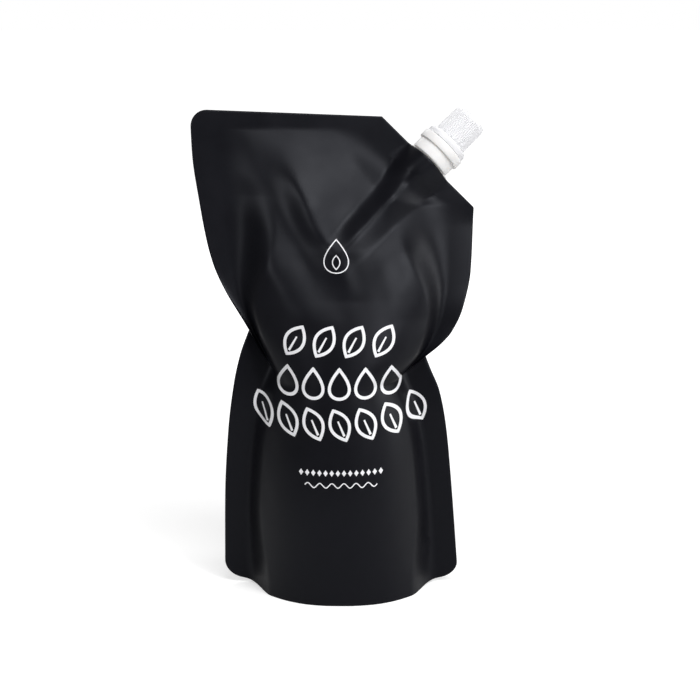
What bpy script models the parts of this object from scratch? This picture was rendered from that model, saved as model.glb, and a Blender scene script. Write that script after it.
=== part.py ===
"""A stand-up refill pouch for hand soap, with a corner spout and a screw cap.

The filled pouch is one sealed solid: two panels of film, welded at their sides and top, and a bottom gusset.
Its film narrows at a waist, where a crease runs in from each side, and the part above leans back.
A moulded spout is welded into the cut corner. A threaded cap with a sealing disc closes it, and a tamper ring
sits under the cap. Metres, +Z up, the front towards -Y, and the origin under the middle of the base.
"""

import math

import bmesh
import bpy
import numpy as np
from mathutils import Vector

MM = 0.001

# The film and its welds
FILM = 0.8 * MM  # the two films of a weld, laid together
SIDE_SEAL = 9.5 * MM
TOP_SEAL = 10.0 * MM
CORNER_SEAL = 12.0 * MM  # across the cut corner, where the spout is welded in
CORNER_RADIUS = 8.5 * MM

# The outline of the standing pack, seen from the front
BASE_HALF_WIDTH = 60.3 * MM
WAIST_LEFT = 46.5 * MM  # how far each notch of the waist is from the middle
WAIST_RIGHT = 42.8 * MM
WAIST_LEFT_HEIGHT = 133.0 * MM
WAIST_RIGHT_HEIGHT = 119.0 * MM
WAIST_MIDDLE_HEIGHT = 108.0 * MM
WING_LIFT = 3.5 * MM  # how far the lower ends of the side welds are off the floor
WING_START = 0.62  # where the lower edge starts to rise, as a share of the way from the middle
TOP_LEFT = 77.0 * MM
TOP_RIGHT = 67.1 * MM
TOP_HEIGHT = 240.3 * MM  # at the left corner
TOP_DROP = 3.3 * MM  # how much lower the right corner is
TOP_RIGHT_HEIGHT = TOP_HEIGHT - TOP_DROP
CORNER_CUT = 46.5 * MM  # both legs of the cut corner, on the flat film

# How an edge runs between two of those places: (share of the way up, share of the way across)
LOWER_LEFT_EDGE = ((0, 0), (0.34, 0.05), (0.6, 0.2), (0.79, 0.43), (0.9, 0.66), (1, 1))
LOWER_RIGHT_EDGE = ((0, 0), (0.45, 0.24), (0.69, 0.4), (0.85, 0.6), (0.95, 0.87), (1, 1))
UPPER_LEFT_EDGE = ((0, 0), (0.17, 0.4), (0.28, 0.585), (0.39, 0.7), (0.58, 0.835), (0.79, 0.955), (1, 1))
UPPER_RIGHT_EDGE = ((0, 0), (0.08, 0.31), (0.16, 0.53), (0.32, 0.765), (0.57, 0.935), (1, 1))

# Depth, front to back
BASE_DEPTH = 36.0 * MM  # from the middle to the front edge of the base
BELLY_DEPTH = 39.0 * MM
BELLY_HEIGHT = 48.0 * MM
WAIST_FRONT = 31.0 * MM
WAIST_BACK = 29.0 * MM
UPPER_FULLNESS = 0.56  # half-way up from the waist to the top seal, as a share of the waist's depth
LEAN = math.radians(15)  # how far the top leans back
LEAN_START = 90.0 * MM
LEAN_END = 150.0 * MM

# The crease that runs in from each notch of the waist
CREASE_STEP_LEFT = 9.0 * MM  # how far the film steps back under the crease, at the edge
CREASE_STEP_RIGHT = 7.0 * MM
CREASE_INNER_END = 0.6  # where it fades out, as a share of the way from the middle to the edge
CREASE_LEFT_BEND = 1.55  # above 1, the crease gets steeper towards the edge
CREASE_RIGHT_BEND = 1.3
CREASE_FORWARD = 0.55  # the share of the step by which the film above comes forward; the rest is below
CREASE_FADE = 16.0 * MM
CREASE_GAP = 0.8 * MM  # between the two films, up the pack

# The turn of the film out of its side welds, as a share of the way to the middle
BASE_FLARE = 0.25
BODY_FLARE = 0.15
FLARE_RISE = 45.0 * MM  # the height at which the one has become the other

# The ridge that the welded spout holds up in the front film, and the shorter one at the back
RIDGE_WIDTH_ABOVE = 10.5 * MM  # from its crest to each foot
RIDGE_WIDTH_BELOW = 6.5 * MM
# How high it stands, at a number of millimetres inwards from the cut corner, as a share of its start
RIDGE_HEIGHTS = ((12, 1), (20, 0.78), (32, 0.52), (50, 0.4), (58, 0.3), (68, 0))
BACK_RIDGE_HEIGHTS = ((12, 1), (26, 0.5), (45, 0))
CREST_RADIUS = 0.16  # of the ridge, as a share of its half width

# Folds of the front film, from left to right, in millimetres: the radius of the turn, and points (x, z, height)
# down the fold, where a height below zero is a valley. The film runs straight from each fold to the next.
FOLDS = (
    (9, ((-62.5, 230, 0), (-58, 191, -1), (-53, 171, -1.5), (-45, 152, -1), (-38, 135, 0))),
    (8, ((-57, 216, 1.5), (-47, 194, 3.5), (-35, 168, 4), (-20, 147, 2.5), (-9, 134, 0))),
    (7, ((-40, 230, -1), (-35, 213, -2.5), (-28.6, 194, -3.5), (-22, 178, -3), (-13, 161, -1.5), (-3, 140, 0))),
    (4, ((-27.5, 230, 3), (-22.9, 220, 4.5), (-15.7, 196, 5.5), (-12.6, 185, 5), (-3, 171, 3.5), (6, 150, 0))),
    (6, ((40, 226, 0), (31.6, 218, 0), (15.5, 203, -0.5), (5, 191, -0.5), (-1, 175, 1), (14, 150, 0))),
    (9, ((62, 216, 0), (54, 196, 0), (40, 182, 0), (26, 168, 1.5), (26, 140, 0))),
    (9, ((64, 216, 0), (60, 196, 2.5), (56, 176, 4), (48, 158, 4), (40, 140, 0))),
)
FOLDS_END = 75.0 * MM  # the folds have run out this far from the middle
FOLD_SPACE = 3.0 * MM  # two folds come no nearer to each other
FOLD_DEPTH = 8.0 * MM  # the folds fade out where the pack is thinner than this

# The bottom gusset
SKIRT_WALL = 1.0 * MM
SKIRT_HEIGHT = 6.0 * MM
GUSSET_RISE = 24.0 * MM  # how far it rises between the two panels at each side
GUSSET_SAG = 1.5 * MM  # how far it would bulge below the floor, which flattens it
GUSSET_REACH = 0.9  # how far it reaches towards the side welds, as a share of the way
GUSSET_FLAT = 0.35  # the share of that on which it rests flat on the floor

# The spout, along its own axis from the edge of the film: radii, and distances outwards
BORE_RADIUS = 4.3 * MM
CORE_RADIUS = 5.7 * MM  # the tube inside the welded base
WELD_BASE_HALF_LENGTH = 12.5 * MM
WELD_BASE_HALF_THICKNESS = 9.3 * MM
WELD_BASE_DEPTH = 12.0 * MM
STEM_RADIUS = 7.0 * MM
LOWER_FLANGE_RADIUS = 11.3 * MM
LOWER_FLANGE_START = 0.6 * MM
LOWER_FLANGE_END = 6.5 * MM
GROOVE_RADIUS = 10.8 * MM
UPPER_FLANGE_RADIUS = 12.4 * MM
UPPER_FLANGE_START = 7.1 * MM
UPPER_FLANGE_END = 11.4 * MM
NECK_RADIUS = 6.9 * MM
BEAD_RADIUS = 7.5 * MM
BEAD_HEIGHT = 1.2 * MM
MOUTH = 28.2 * MM

# The thread, the same helix on the neck and in the cap
THREAD_PITCH = 3.2 * MM
THREAD_DEPTH = 0.8 * MM
THREAD_FOOT = 1.1 * MM
THREAD_CREST = 0.5 * MM
NECK_THREAD_TURNS = 2.25
CAP_THREAD_TURNS = 1.5

# The tamper ring, the sealing disc and the cap
CLEARANCE = 0.3 * MM
RING_RADIUS = 11.6 * MM
RING_HEIGHT = 3.6 * MM
RING_WALL = 1.1 * MM
RING_BEVEL = 1.1 * MM
LINER_THICKNESS = 1.1 * MM
CAP_RADIUS = 9.4 * MM  # over the ribs, at the open end
CAP_TAPER = 0.2 * MM
CAP_BORE = 8.0 * MM
CAP_TOP = 1.7 * MM
CAP_ROUNDING = 1.6 * MM
CAP_EDGE = 0.5 * MM  # without ribs, at the open end
RIB_COUNT = 54
RIB_DEPTH = 0.3 * MM

COLUMNS = 32  # across the filled part of a panel
SEAL_COLUMNS = 2
ROUND_STEPS = 48


# Curves and helpers


def smooth(value):
    """0 below 0, 1 above 1, and an even curve between."""
    value = np.clip(value, 0, 1)
    return value * value * (3 - 2 * value)


def along(points, at):
    """A smooth curve through (where, value) points, without overshoot."""
    where = np.array([p[0] for p in points], float)
    value = np.array([p[1] for p in points], float)
    at = np.clip(at, where[0], where[-1])
    slope = np.diff(value) / np.diff(where)
    tangent = np.concatenate([slope[:1], np.zeros(len(slope) - 1), slope[-1:]])
    same_way = slope[:-1] * slope[1:] > 0
    mean = 2 * slope[:-1] * slope[1:] / np.where(same_way, slope[:-1] + slope[1:], 1)
    tangent[1:-1] = np.where(same_way, mean, 0)
    i = np.clip(np.searchsorted(where, at, side="right") - 1, 0, len(slope) - 1)
    width = where[i + 1] - where[i]
    t = (at - where[i]) / width
    start = value[i] * (1 + 2 * t) * (1 - t) ** 2 + tangent[i] * width * t * (1 - t) ** 2
    end = value[i + 1] * t * t * (3 - 2 * t) + tangent[i + 1] * width * t * t * (t - 1)
    return start + end


def evenly(start, end, step):
    """Values from start to end, both included, no more than a step apart."""
    return np.linspace(start, end, max(2, math.ceil((end - start) / step) + 1))


def between(start, end, share):
    return start + (end - start) * share


# The outline


def rounding(height_to_end):
    """How far a rounded corner's edge is drawn in, at this distance from the corner's end."""
    left = np.clip(CORNER_RADIUS - height_to_end, 0, CORNER_RADIUS)
    return CORNER_RADIUS - np.sqrt(CORNER_RADIUS**2 - left**2)


def lower_edges(share):
    """The left and right ends of a row below the waist: (x, z) and (x, z)."""
    left_z = share * WAIST_LEFT_HEIGHT
    right_z = share * WAIST_RIGHT_HEIGHT
    left_x = between(BASE_HALF_WIDTH, WAIST_LEFT, along(LOWER_LEFT_EDGE, share))
    right_x = between(BASE_HALF_WIDTH, WAIST_RIGHT, along(LOWER_RIGHT_EDGE, share))
    return -left_x, left_z, right_x, right_z


def corner_height():
    """The height of the lower end of the cut corner, on the leaning film."""
    return TOP_RIGHT_HEIGHT - CORNER_CUT * math.cos(LEAN)


def upper_edges(share):
    """The left and right ends of a row above the waist."""
    left_z = between(WAIST_LEFT_HEIGHT, TOP_HEIGHT, share)
    left_x = between(WAIST_LEFT, TOP_LEFT, along(UPPER_LEFT_EDGE, share))
    left_x -= rounding(TOP_HEIGHT - left_z)
    right_z = between(WAIST_RIGHT_HEIGHT, TOP_RIGHT_HEIGHT, share)
    up = np.clip((right_z - WAIST_RIGHT_HEIGHT) / (corner_height() - WAIST_RIGHT_HEIGHT), 0, 1)
    right_x = between(WAIST_RIGHT, TOP_RIGHT, along(UPPER_RIGHT_EDGE, up))
    over = np.clip(right_z - corner_height(), 0, None)
    return -left_x, left_z, right_x - over / math.cos(LEAN), right_z


def crease_share(column):
    """0 inside the crease's inner ends, 1 at the edges of the film."""
    return np.clip((np.abs(column) - CREASE_INNER_END) / (1 - CREASE_INNER_END), 0, 1)


def crease_height(column):
    """The height of the crease along the front, notch to notch."""
    share = crease_share(column)
    left = (WAIST_LEFT_HEIGHT - WAIST_MIDDLE_HEIGHT) * share**CREASE_LEFT_BEND
    right = (WAIST_RIGHT_HEIGHT - WAIST_MIDDLE_HEIGHT) * share**CREASE_RIGHT_BEND
    return WAIST_MIDDLE_HEIGHT + np.where(column < 0, left, right)


# The depth of the filled pack


def lean(height):
    """How far back the middle of the pack is at a height."""
    slope = math.tan(LEAN)
    bend = np.clip(height - LEAN_START, 0, LEAN_END - LEAN_START)
    straight = np.clip(height - LEAN_END, 0, None)
    return slope * (bend**2 / (2 * (LEAN_END - LEAN_START)) + straight)


def fullness(height, waist):
    """How deep the filled pack is at a height, on the middle line."""
    top = TOP_RIGHT_HEIGHT - TOP_SEAL
    stations = (
        (0, BASE_DEPTH),
        (BELLY_HEIGHT, BELLY_DEPTH),
        (WAIST_MIDDLE_HEIGHT, waist),
        (between(WAIST_MIDDLE_HEIGHT, top, 0.5), waist * UPPER_FULLNESS),
        (top, 0),
    )
    return along(stations, height)


def across(column, height):
    """The share of that depth across the pack: a round belly that flares into the side welds."""
    off = np.clip(np.abs(column), 0, 1)
    flare = between(BASE_FLARE, BODY_FLARE, smooth(height / FLARE_RISE))
    return (1 - off**2.5) * smooth((1 - off) / flare)


def spout_place():
    """The middle of the cut corner's edge."""
    x = TOP_RIGHT - CORNER_CUT / 2
    z = corner_height() + CORNER_CUT * math.cos(LEAN) / 2
    return Vector((x, float(lean(z)), z))


def spout_ridge(x, z, heights, tent):
    """How far a panel stands proud over the spout's welded base and along the ridge that runs on from it."""
    place = spout_place()
    up = (place.z - z) / math.cos(LEAN)
    side = (x - place.x + up) / math.sqrt(2)
    inward = (place.x - x + up) / math.sqrt(2)
    run = smooth((inward - WELD_BASE_DEPTH / 2) / (2 * WELD_BASE_DEPTH)) * tent
    foot = np.where(side < 0, RIDGE_WIDTH_ABOVE, RIDGE_WIDTH_BELOW)
    off = np.clip(side / between(WELD_BASE_HALF_LENGTH + 2 * FILM, foot, run), -1, 1)
    fall = np.sqrt(off**2 + CREST_RADIUS**2) - CREST_RADIUS
    tent_section = 1 - fall / (math.sqrt(1 + CREST_RADIUS**2) - CREST_RADIUS)
    share = along([(mm * MM, value) for mm, value in heights], inward)
    start = WELD_BASE_HALF_THICKNESS + CLEARANCE + FILM
    return start * share * between(1 - off**2, tent_section, run)


def folds(x, z):
    """How far the front film stands proud of its even bulge, or is drawn in, at places on it."""
    places = [np.full(np.shape(x), -FOLDS_END)]
    heights = [np.zeros(np.shape(x))]
    for _, points in FOLDS:
        down = [(-fold_z * MM, fold_x * MM) for fold_x, fold_z, _ in points]
        lift = [(-fold_z * MM, rise * MM) for _, fold_z, rise in points]
        places.append(np.maximum(along(down, -z), places[-1] + FOLD_SPACE))
        heights.append(along(lift, -z))
    places.append(np.full(np.shape(x), FOLDS_END))
    heights.append(np.zeros(np.shape(x)))
    spans = zip(places, places[1:], heights, heights[1:])
    slopes = [(end - start) / (right - left) for left, right, start, end in spans]
    total = slopes[0] * (x + FOLDS_END)
    for i, (radius, _) in enumerate(FOLDS):
        off = x - places[i + 1]
        total = total + (slopes[i + 1] - slopes[i]) * (off + np.sqrt(off**2 + (radius * MM) ** 2)) / 2
    return total


# The pouch


def row_shares():
    """Where the rows of the panels lie, as shares of the way up below and above the waist."""
    lower_turn = CORNER_RADIUS / WAIST_LEFT_HEIGHT
    lower_corner = [lower_turn * (1 - math.cos(math.radians(a))) for a in (0, 25, 50, 70)]
    lower = np.concatenate([lower_corner, evenly(lower_turn, 1, 0.055)])
    height = TOP_HEIGHT - WAIST_LEFT_HEIGHT
    upper_turn = 1 - CORNER_RADIUS / height
    upper_corner = [between(upper_turn, 1, math.sin(math.radians(a))) for a in (25, 50, 70, 90)]
    cut = (corner_height() - WAIST_RIGHT_HEIGHT) / (TOP_RIGHT_HEIGHT - WAIST_RIGHT_HEIGHT)
    upper = np.concatenate(
        [[0, 0.015], evenly(0.035, cut, 0.042), evenly(cut, upper_turn, 0.028)[1:], upper_corner]
    )
    return lower, upper


def columns():
    """Column places: from -1 to 1 across the filled part, and past it across the welds."""
    filled = np.sin(np.linspace(-0.5, 0.5, COLUMNS + 1) * math.pi)
    filled = between(np.linspace(-1, 1, COLUMNS + 1), filled, 0.6)
    weld = np.arange(1, SEAL_COLUMNS + 1) / SEAL_COLUMNS
    return np.concatenate([-1 - weld[::-1], filled, 1 + weld])


def panel_grid():
    """x, z, filled column and crease step of every point of a panel: rows upwards, columns to the right."""
    lower, upper = row_shares()
    places = columns()
    filled = np.clip(places, -1, 1)
    weld = places - filled
    rows = []
    for share, edges, above in [(s, lower_edges, 0) for s in lower] + [(s, upper_edges, 1) for s in upper]:
        left_x, left_z, right_x, right_z = (float(v) for v in edges(share))
        turn = float(rounding(left_z)) if not above else 0
        right_seal = SIDE_SEAL
        if above:
            up_the_cut = (right_z - corner_height()) / CORNER_SEAL
            right_seal = between(SIDE_SEAL, CORNER_SEAL * math.sqrt(2), float(smooth(up_the_cut)))
        inner_left = left_x + SIDE_SEAL
        inner_right = right_x - right_seal
        x = between(inner_left, inner_right, (filled + 1) / 2)
        x = x + np.where(weld < 0, weld * (SIDE_SEAL - turn), weld * (right_seal - turn))
        column = np.clip(x / np.where(x < 0, -left_x, right_x), -1, 1)
        crease = crease_height(column)
        step = np.where(column < 0, CREASE_STEP_LEFT, CREASE_STEP_RIGHT) * crease_share(column)
        if above:
            top = between(left_z, right_z, (x - left_x) / (right_x - left_x))
            full_top = between(TOP_HEIGHT, TOP_RIGHT_HEIGHT, (x - left_x) / (right_x - left_x))
            z = between(crease, full_top, share) + CREASE_GAP * (1 - share)
            # Low down the rows follow the crease, and from half-way up they run straight across.
            z = between(z, top, smooth(share * 3 - 0.5))
            shift = -CREASE_FORWARD * step * np.exp(-(z - crease) / CREASE_FADE)
        else:
            lower_end = WING_LIFT * smooth((np.abs(column) - WING_START) / (1 - WING_START))
            z = between(lower_end, crease - CREASE_GAP, share)
            shift = (1 - CREASE_FORWARD) * step * np.exp(-(crease - z) / CREASE_FADE)
        rows.append((x, z, filled, shift))
    return [np.array(part) for part in zip(*rows)]


def panels():
    """The points of the front and of the back panel."""
    x, z, filled, shift = panel_grid()
    middle = lean(z) + shift
    front_ridge = spout_ridge(x, z, RIDGE_HEIGHTS, 1)
    back_ridge = spout_ridge(x, z, BACK_RIDGE_HEIGHTS, 0)
    front_depth = fullness(z, WAIST_FRONT) * across(filled, z)
    back_depth = fullness(z, WAIST_BACK) * across(filled, z)
    front_depth = front_depth + folds(x, z) * smooth(front_depth / FOLD_DEPTH)
    front = middle - FILM / 2 - front_depth - front_ridge * math.cos(LEAN)
    back = middle + FILM / 2 + back_depth + back_ridge * math.cos(LEAN)
    front_z = z + front_ridge * math.sin(LEAN)
    back_z = z - back_ridge * math.sin(LEAN)
    return np.stack([x, front, front_z], axis=-1), np.stack([x, back, back_z], axis=-1)


def closed_pouch(front, back):
    """A mesh of both panels, joined all round their edge and across the base."""
    rows, across_count, _ = front.shape
    mesh = bmesh.new()
    near = [[mesh.verts.new(p) for p in row] for row in front]
    far = [[mesh.verts.new(p) for p in row] for row in back]
    for i in range(rows - 1):
        for j in range(across_count - 1):
            mesh.faces.new((near[i][j], near[i][j + 1], near[i + 1][j + 1], near[i + 1][j]))
            mesh.faces.new((far[i][j], far[i + 1][j], far[i + 1][j + 1], far[i][j + 1]))
        mesh.faces.new((near[i][0], near[i + 1][0], far[i + 1][0], far[i][0]))
        mesh.faces.new((near[i][-1], far[i][-1], far[i + 1][-1], near[i + 1][-1]))
    for j in range(across_count - 1):
        mesh.faces.new((near[0][j], far[0][j], far[0][j + 1], near[0][j + 1]))
        mesh.faces.new((near[-1][j], near[-1][j + 1], far[-1][j + 1], far[-1][j]))
    return mesh


def gusset_height(place, line):
    """The height of the gusset film: place runs across the pack from -1 to 1, line from front to back."""
    out = abs(place)
    wall_top = between(SKIRT_HEIGHT, GUSSET_RISE, smooth((out - GUSSET_FLAT) / (1 - GUSSET_FLAT)))
    fold_rise = (wall_top - SKIRT_HEIGHT) + SKIRT_HEIGHT * smooth((out - GUSSET_FLAT) / 0.5)
    return between(fold_rise - GUSSET_SAG, wall_top, abs(line) ** 2.5)


def gusset_recess():
    """The hollow under the pack, between the skirts of the two panels and the gusset."""
    mesh = bmesh.new()
    places = np.linspace(-1, 1, 19)
    lines = np.linspace(-1, 1, 9)
    below = -SKIRT_HEIGHT
    floor, roof = [], []
    for place in places:
        column = place * GUSSET_REACH
        for line in lines:
            height = float(gusset_height(place, line))
            for level, kept in ((below, floor), (height, roof)):
                above_floor = max(level, 0)
                left_x, _, right_x, _ = (float(v) for v in lower_edges(above_floor / WAIST_LEFT_HEIGHT))
                reach = (right_x if place > 0 else -left_x) - SIDE_SEAL
                half = float(fullness(above_floor, WAIST_FRONT) * across(column, above_floor)) - SKIRT_WALL
                kept.append(mesh.verts.new((column * reach, line * half, level)))
    count = len(lines)
    for i in range(len(places) - 1):
        for j in range(count - 1):
            a, b, c, d = i * count + j, (i + 1) * count + j, (i + 1) * count + j + 1, i * count + j + 1
            mesh.faces.new((roof[a], roof[b], roof[c], roof[d]))
            mesh.faces.new((floor[a], floor[d], floor[c], floor[b]))
    ring = [i * count for i in range(len(places))]
    ring += [(len(places) - 1) * count + j for j in range(1, count)]
    ring += [i * count + count - 1 for i in range(len(places) - 2, -1, -1)]
    ring += list(range(count - 2, 0, -1))
    for a, b in zip(ring, ring[1:] + ring[:1]):
        mesh.faces.new((floor[a], floor[b], roof[b], roof[a]))
    bmesh.ops.recalc_face_normals(mesh, faces=mesh.faces)
    return mesh


# The turned and threaded pieces


def turned(profile, steps=ROUND_STEPS):
    """A closed solid turned about Z from a profile of (radius, height) points, lowest first."""
    mesh = bmesh.new()
    line = [mesh.verts.new((radius, 0, height)) for radius, height in profile]
    edges = [mesh.edges.new(pair) for pair in zip(line, line[1:])]
    bmesh.ops.spin(
        mesh,
        geom=line + edges,
        cent=(0, 0, 0),
        axis=(0, 0, 1),
        angle=math.tau,
        steps=steps,
        use_duplicate=False,
    )
    bmesh.ops.remove_doubles(mesh, verts=mesh.verts, dist=1e-6)
    bmesh.ops.recalc_face_normals(mesh, faces=mesh.faces)
    return mesh


def thread_ridge(root, depth, start, turns, phase):
    """A helical ridge of trapezium section from a root radius; a negative depth points inwards."""
    mesh = bmesh.new()
    steps = round(turns * ROUND_STEPS)
    sink = -math.copysign(0.3 * MM, depth)
    sections = []
    for i in range(steps + 1):
        angle = phase + math.tau * i / ROUND_STEPS
        run_out = float(smooth(min(i, steps - i) / (ROUND_STEPS / 8)))
        crest = root + depth * max(run_out, 0.02)
        height = start + THREAD_PITCH * i / ROUND_STEPS
        section = (
            (root + sink, -THREAD_FOOT / 2),
            (root, -THREAD_FOOT / 2),
            (crest, -THREAD_CREST / 2),
            (crest, THREAD_CREST / 2),
            (root, THREAD_FOOT / 2),
            (root + sink, THREAD_FOOT / 2),
        )
        ring = [
            mesh.verts.new((r * math.cos(angle), r * math.sin(angle), height + rise)) for r, rise in section
        ]
        sections.append(ring)
    for first, second in zip(sections, sections[1:]):
        for j in range(len(first)):
            k = (j + 1) % len(first)
            mesh.faces.new((first[j], first[k], second[k], second[j]))
    mesh.faces.new(sections[0][::-1])
    mesh.faces.new(sections[-1])
    bmesh.ops.recalc_face_normals(mesh, faces=mesh.faces)
    return mesh


def weld_base():
    """The boat-shaped base of the spout, that the two films are welded to."""
    return boat(WELD_BASE_HALF_LENGTH, WELD_BASE_HALF_THICKNESS, WELD_BASE_DEPTH, 0)


def boat(half_length, half_thickness, depth, top):
    """A block of lens-shaped section, from a depth below the edge of the film up to top."""
    mesh = bmesh.new()
    steps = 8
    places = np.linspace(-1, 1, 2 * steps + 1)
    front = [(p * half_length, -half_thickness * (1 - p * p)) for p in places]
    back = [(p * half_length, half_thickness * (1 - p * p)) for p in places[-2:0:-1]]
    ring = [mesh.verts.new((x, y, -depth)) for x, y in front + back]
    face = mesh.faces.new(ring)
    raised = bmesh.ops.extrude_face_region(mesh, geom=[face])
    moved = [item for item in raised["geom"] if isinstance(item, bmesh.types.BMVert)]
    bmesh.ops.translate(mesh, verts=moved, vec=(0, 0, depth + top))
    bmesh.ops.recalc_face_normals(mesh, faces=mesh.faces)
    return mesh


def ribbed_blank(bottom, top):
    """The outside of the cap: a tapered cylinder with upright ribs and a rounded end."""
    mesh = bmesh.new()
    levels = (
        (bottom, 0.0, 0.0),
        (bottom + CAP_EDGE, 0.0, 1.0),
        (top - CAP_ROUNDING - CAP_EDGE, 0.0, 1.0),
        (top - CAP_ROUNDING, 0.0, 0.0),
        (top - 0.3 * CAP_ROUNDING, 0.3, 0.0),
        (top, 1.0, 0.0),
    )
    rings = []
    for height, rounded, ribbed in levels:
        share = (height - bottom) / (top - bottom)
        root = CAP_RADIUS - RIB_DEPTH - CAP_TAPER * share - CAP_ROUNDING * rounded
        ring = []
        for i in range(4 * RIB_COUNT):
            angle = math.tau * (i + 0.5) / (4 * RIB_COUNT)
            radius = root + RIB_DEPTH * ribbed * (i % 4 < 2)
            ring.append(mesh.verts.new((radius * math.cos(angle), radius * math.sin(angle), height)))
        rings.append(ring)
    for lower, upper in zip(rings, rings[1:]):
        for i in range(len(lower)):
            k = (i + 1) % len(lower)
            mesh.faces.new((lower[i], lower[k], upper[k], upper[i]))
    mesh.faces.new(rings[0][::-1])
    mesh.faces.new(rings[-1])
    return mesh


# Objects, materials and Booleans


def clear_scene():
    for old in list(bpy.data.objects):
        bpy.data.objects.remove(old)


def material(name, colour, roughness):
    made = bpy.data.materials.new(name)
    made.use_nodes = True
    shader = made.node_tree.nodes["Principled BSDF"]
    shader.inputs["Base Color"].default_value = (*colour, 1)
    shader.inputs["Roughness"].default_value = roughness
    shader.inputs["Metallic"].default_value = 0
    return made


def place(name, mesh, finish=None, parent=None):
    """A named object from a bmesh, shaded smooth away from its sharp edges."""
    data = bpy.data.meshes.new(name)
    mesh.to_mesh(data)
    mesh.free()
    made = bpy.data.objects.new(name, data)
    bpy.context.scene.collection.objects.link(made)
    made.parent = parent
    if finish:
        data.materials.append(finish)
        data.shade_smooth()
        data.set_sharp_from_angle(angle=math.radians(35))
    else:
        made.hide_render = True
        made.display_type = "WIRE"
    return made


def boolean(target, tool, operation):
    change = target.modifiers.new(f"{operation.lower()} {tool.name}", "BOOLEAN")
    change.operation = operation
    change.object = tool
    change.solver = "EXACT"


def make_spout_axis():
    """An empty on the spout's axis: its Z points out of the mouth, and its X runs along the cut corner."""
    axis = bpy.data.objects.new("spout_axis", None)
    bpy.context.scene.collection.objects.link(axis)
    axis.location = spout_place()
    axis.rotation_mode = "ZYX"
    axis.rotation_euler = (-LEAN, math.radians(45), 0)
    return axis


def make_pouch(film, axis):
    pouch = place("pouch", closed_pouch(*panels()), film)
    recess = place("gusset_recess", gusset_recess())
    boolean(pouch, recess, "DIFFERENCE")
    pocket_shape = boat(
        WELD_BASE_HALF_LENGTH + 2 * CLEARANCE,
        WELD_BASE_HALF_THICKNESS + CLEARANCE,
        WELD_BASE_DEPTH + CLEARANCE,
        LOWER_FLANGE_START,
    )
    boolean(pouch, place("weld_pocket", pocket_shape, parent=axis), "DIFFERENCE")


def make_spout(plastic, axis):
    edge = 0.3 * MM
    bead = UPPER_FLANGE_END + CLEARANCE + RING_HEIGHT + CLEARANCE
    profile = (
        (0, -WELD_BASE_DEPTH + edge),
        (CORE_RADIUS, -WELD_BASE_DEPTH + edge),
        (CORE_RADIUS, CLEARANCE),
        (STEM_RADIUS, CLEARANCE),
        (STEM_RADIUS, LOWER_FLANGE_START),
        (LOWER_FLANGE_RADIUS, LOWER_FLANGE_START),
        (LOWER_FLANGE_RADIUS, LOWER_FLANGE_END - edge),
        (GROOVE_RADIUS, LOWER_FLANGE_END),
        (GROOVE_RADIUS, UPPER_FLANGE_START),
        (UPPER_FLANGE_RADIUS - edge, UPPER_FLANGE_START),
        (UPPER_FLANGE_RADIUS, UPPER_FLANGE_START + edge),
        (UPPER_FLANGE_RADIUS, UPPER_FLANGE_END - edge),
        (UPPER_FLANGE_RADIUS - edge, UPPER_FLANGE_END),
        (NECK_RADIUS, UPPER_FLANGE_END),
        (NECK_RADIUS, bead),
        (BEAD_RADIUS, bead + BEAD_HEIGHT / 3),
        (BEAD_RADIUS, bead + BEAD_HEIGHT / 2),
        (NECK_RADIUS, bead + BEAD_HEIGHT),
        (NECK_RADIUS, MOUTH - edge),
        (NECK_RADIUS - edge, MOUTH),
        (0, MOUTH),
    )
    spout = place("spout", turned(profile), plastic, axis)
    boolean(spout, place("weld_base", weld_base(), parent=axis), "UNION")
    start = MOUTH - THREAD_FOOT - NECK_THREAD_TURNS * THREAD_PITCH
    ridge = thread_ridge(NECK_RADIUS, THREAD_DEPTH, start, NECK_THREAD_TURNS, 0)
    boolean(spout, place("neck_thread", ridge, parent=axis), "UNION")
    below, above = -2 * WELD_BASE_DEPTH, 2 * MOUTH
    bore = turned(((0, below), (BORE_RADIUS, below), (BORE_RADIUS, above), (0, above)))
    boolean(spout, place("bore", bore, parent=axis), "DIFFERENCE")


def make_tamper_ring(plastic, axis):
    bottom = UPPER_FLANGE_END + CLEARANCE
    top = bottom + RING_HEIGHT
    inside = NECK_RADIUS + CLEARANCE
    profile = (
        (RING_RADIUS - RING_WALL, bottom),
        (RING_RADIUS, bottom),
        (RING_RADIUS, top - RING_BEVEL),
        (RING_RADIUS - RING_BEVEL, top),
        (inside, top),
        (inside, top - RING_WALL),
        (RING_RADIUS - RING_BEVEL - RING_WALL, top - RING_WALL),
        (RING_RADIUS - RING_WALL, top - RING_BEVEL - RING_WALL),
        (RING_RADIUS - RING_WALL, bottom),
    )
    place("tamper_ring", turned(profile), plastic, axis)


def make_seal_liner(foam, axis):
    bottom = MOUTH + CLEARANCE
    radius = CAP_BORE - CLEARANCE
    top = bottom + LINER_THICKNESS
    place("seal_liner", turned(((0, bottom), (radius, bottom), (radius, top), (0, top))), foam, axis)


def make_cap(plastic, axis):
    bottom = UPPER_FLANGE_END + 2 * CLEARANCE + RING_HEIGHT
    inner_top = MOUTH + 2 * CLEARANCE + LINER_THICKNESS
    cap = place("cap", ribbed_blank(bottom, inner_top + CAP_TOP), plastic, axis)
    hollow = turned(((0, bottom - MM), (CAP_BORE, bottom - MM), (CAP_BORE, inner_top), (0, inner_top)))
    boolean(cap, place("cap_hollow", hollow, parent=axis), "DIFFERENCE")
    # Half a pitch above the neck's ridge, so that the two run past each other.
    neck_start = MOUTH - THREAD_FOOT - NECK_THREAD_TURNS * THREAD_PITCH
    start = neck_start + THREAD_PITCH / 2
    ridge = thread_ridge(CAP_BORE, -THREAD_DEPTH, start, CAP_THREAD_TURNS, 0)
    boolean(cap, place("cap_thread", ridge, parent=axis), "UNION")


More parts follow.
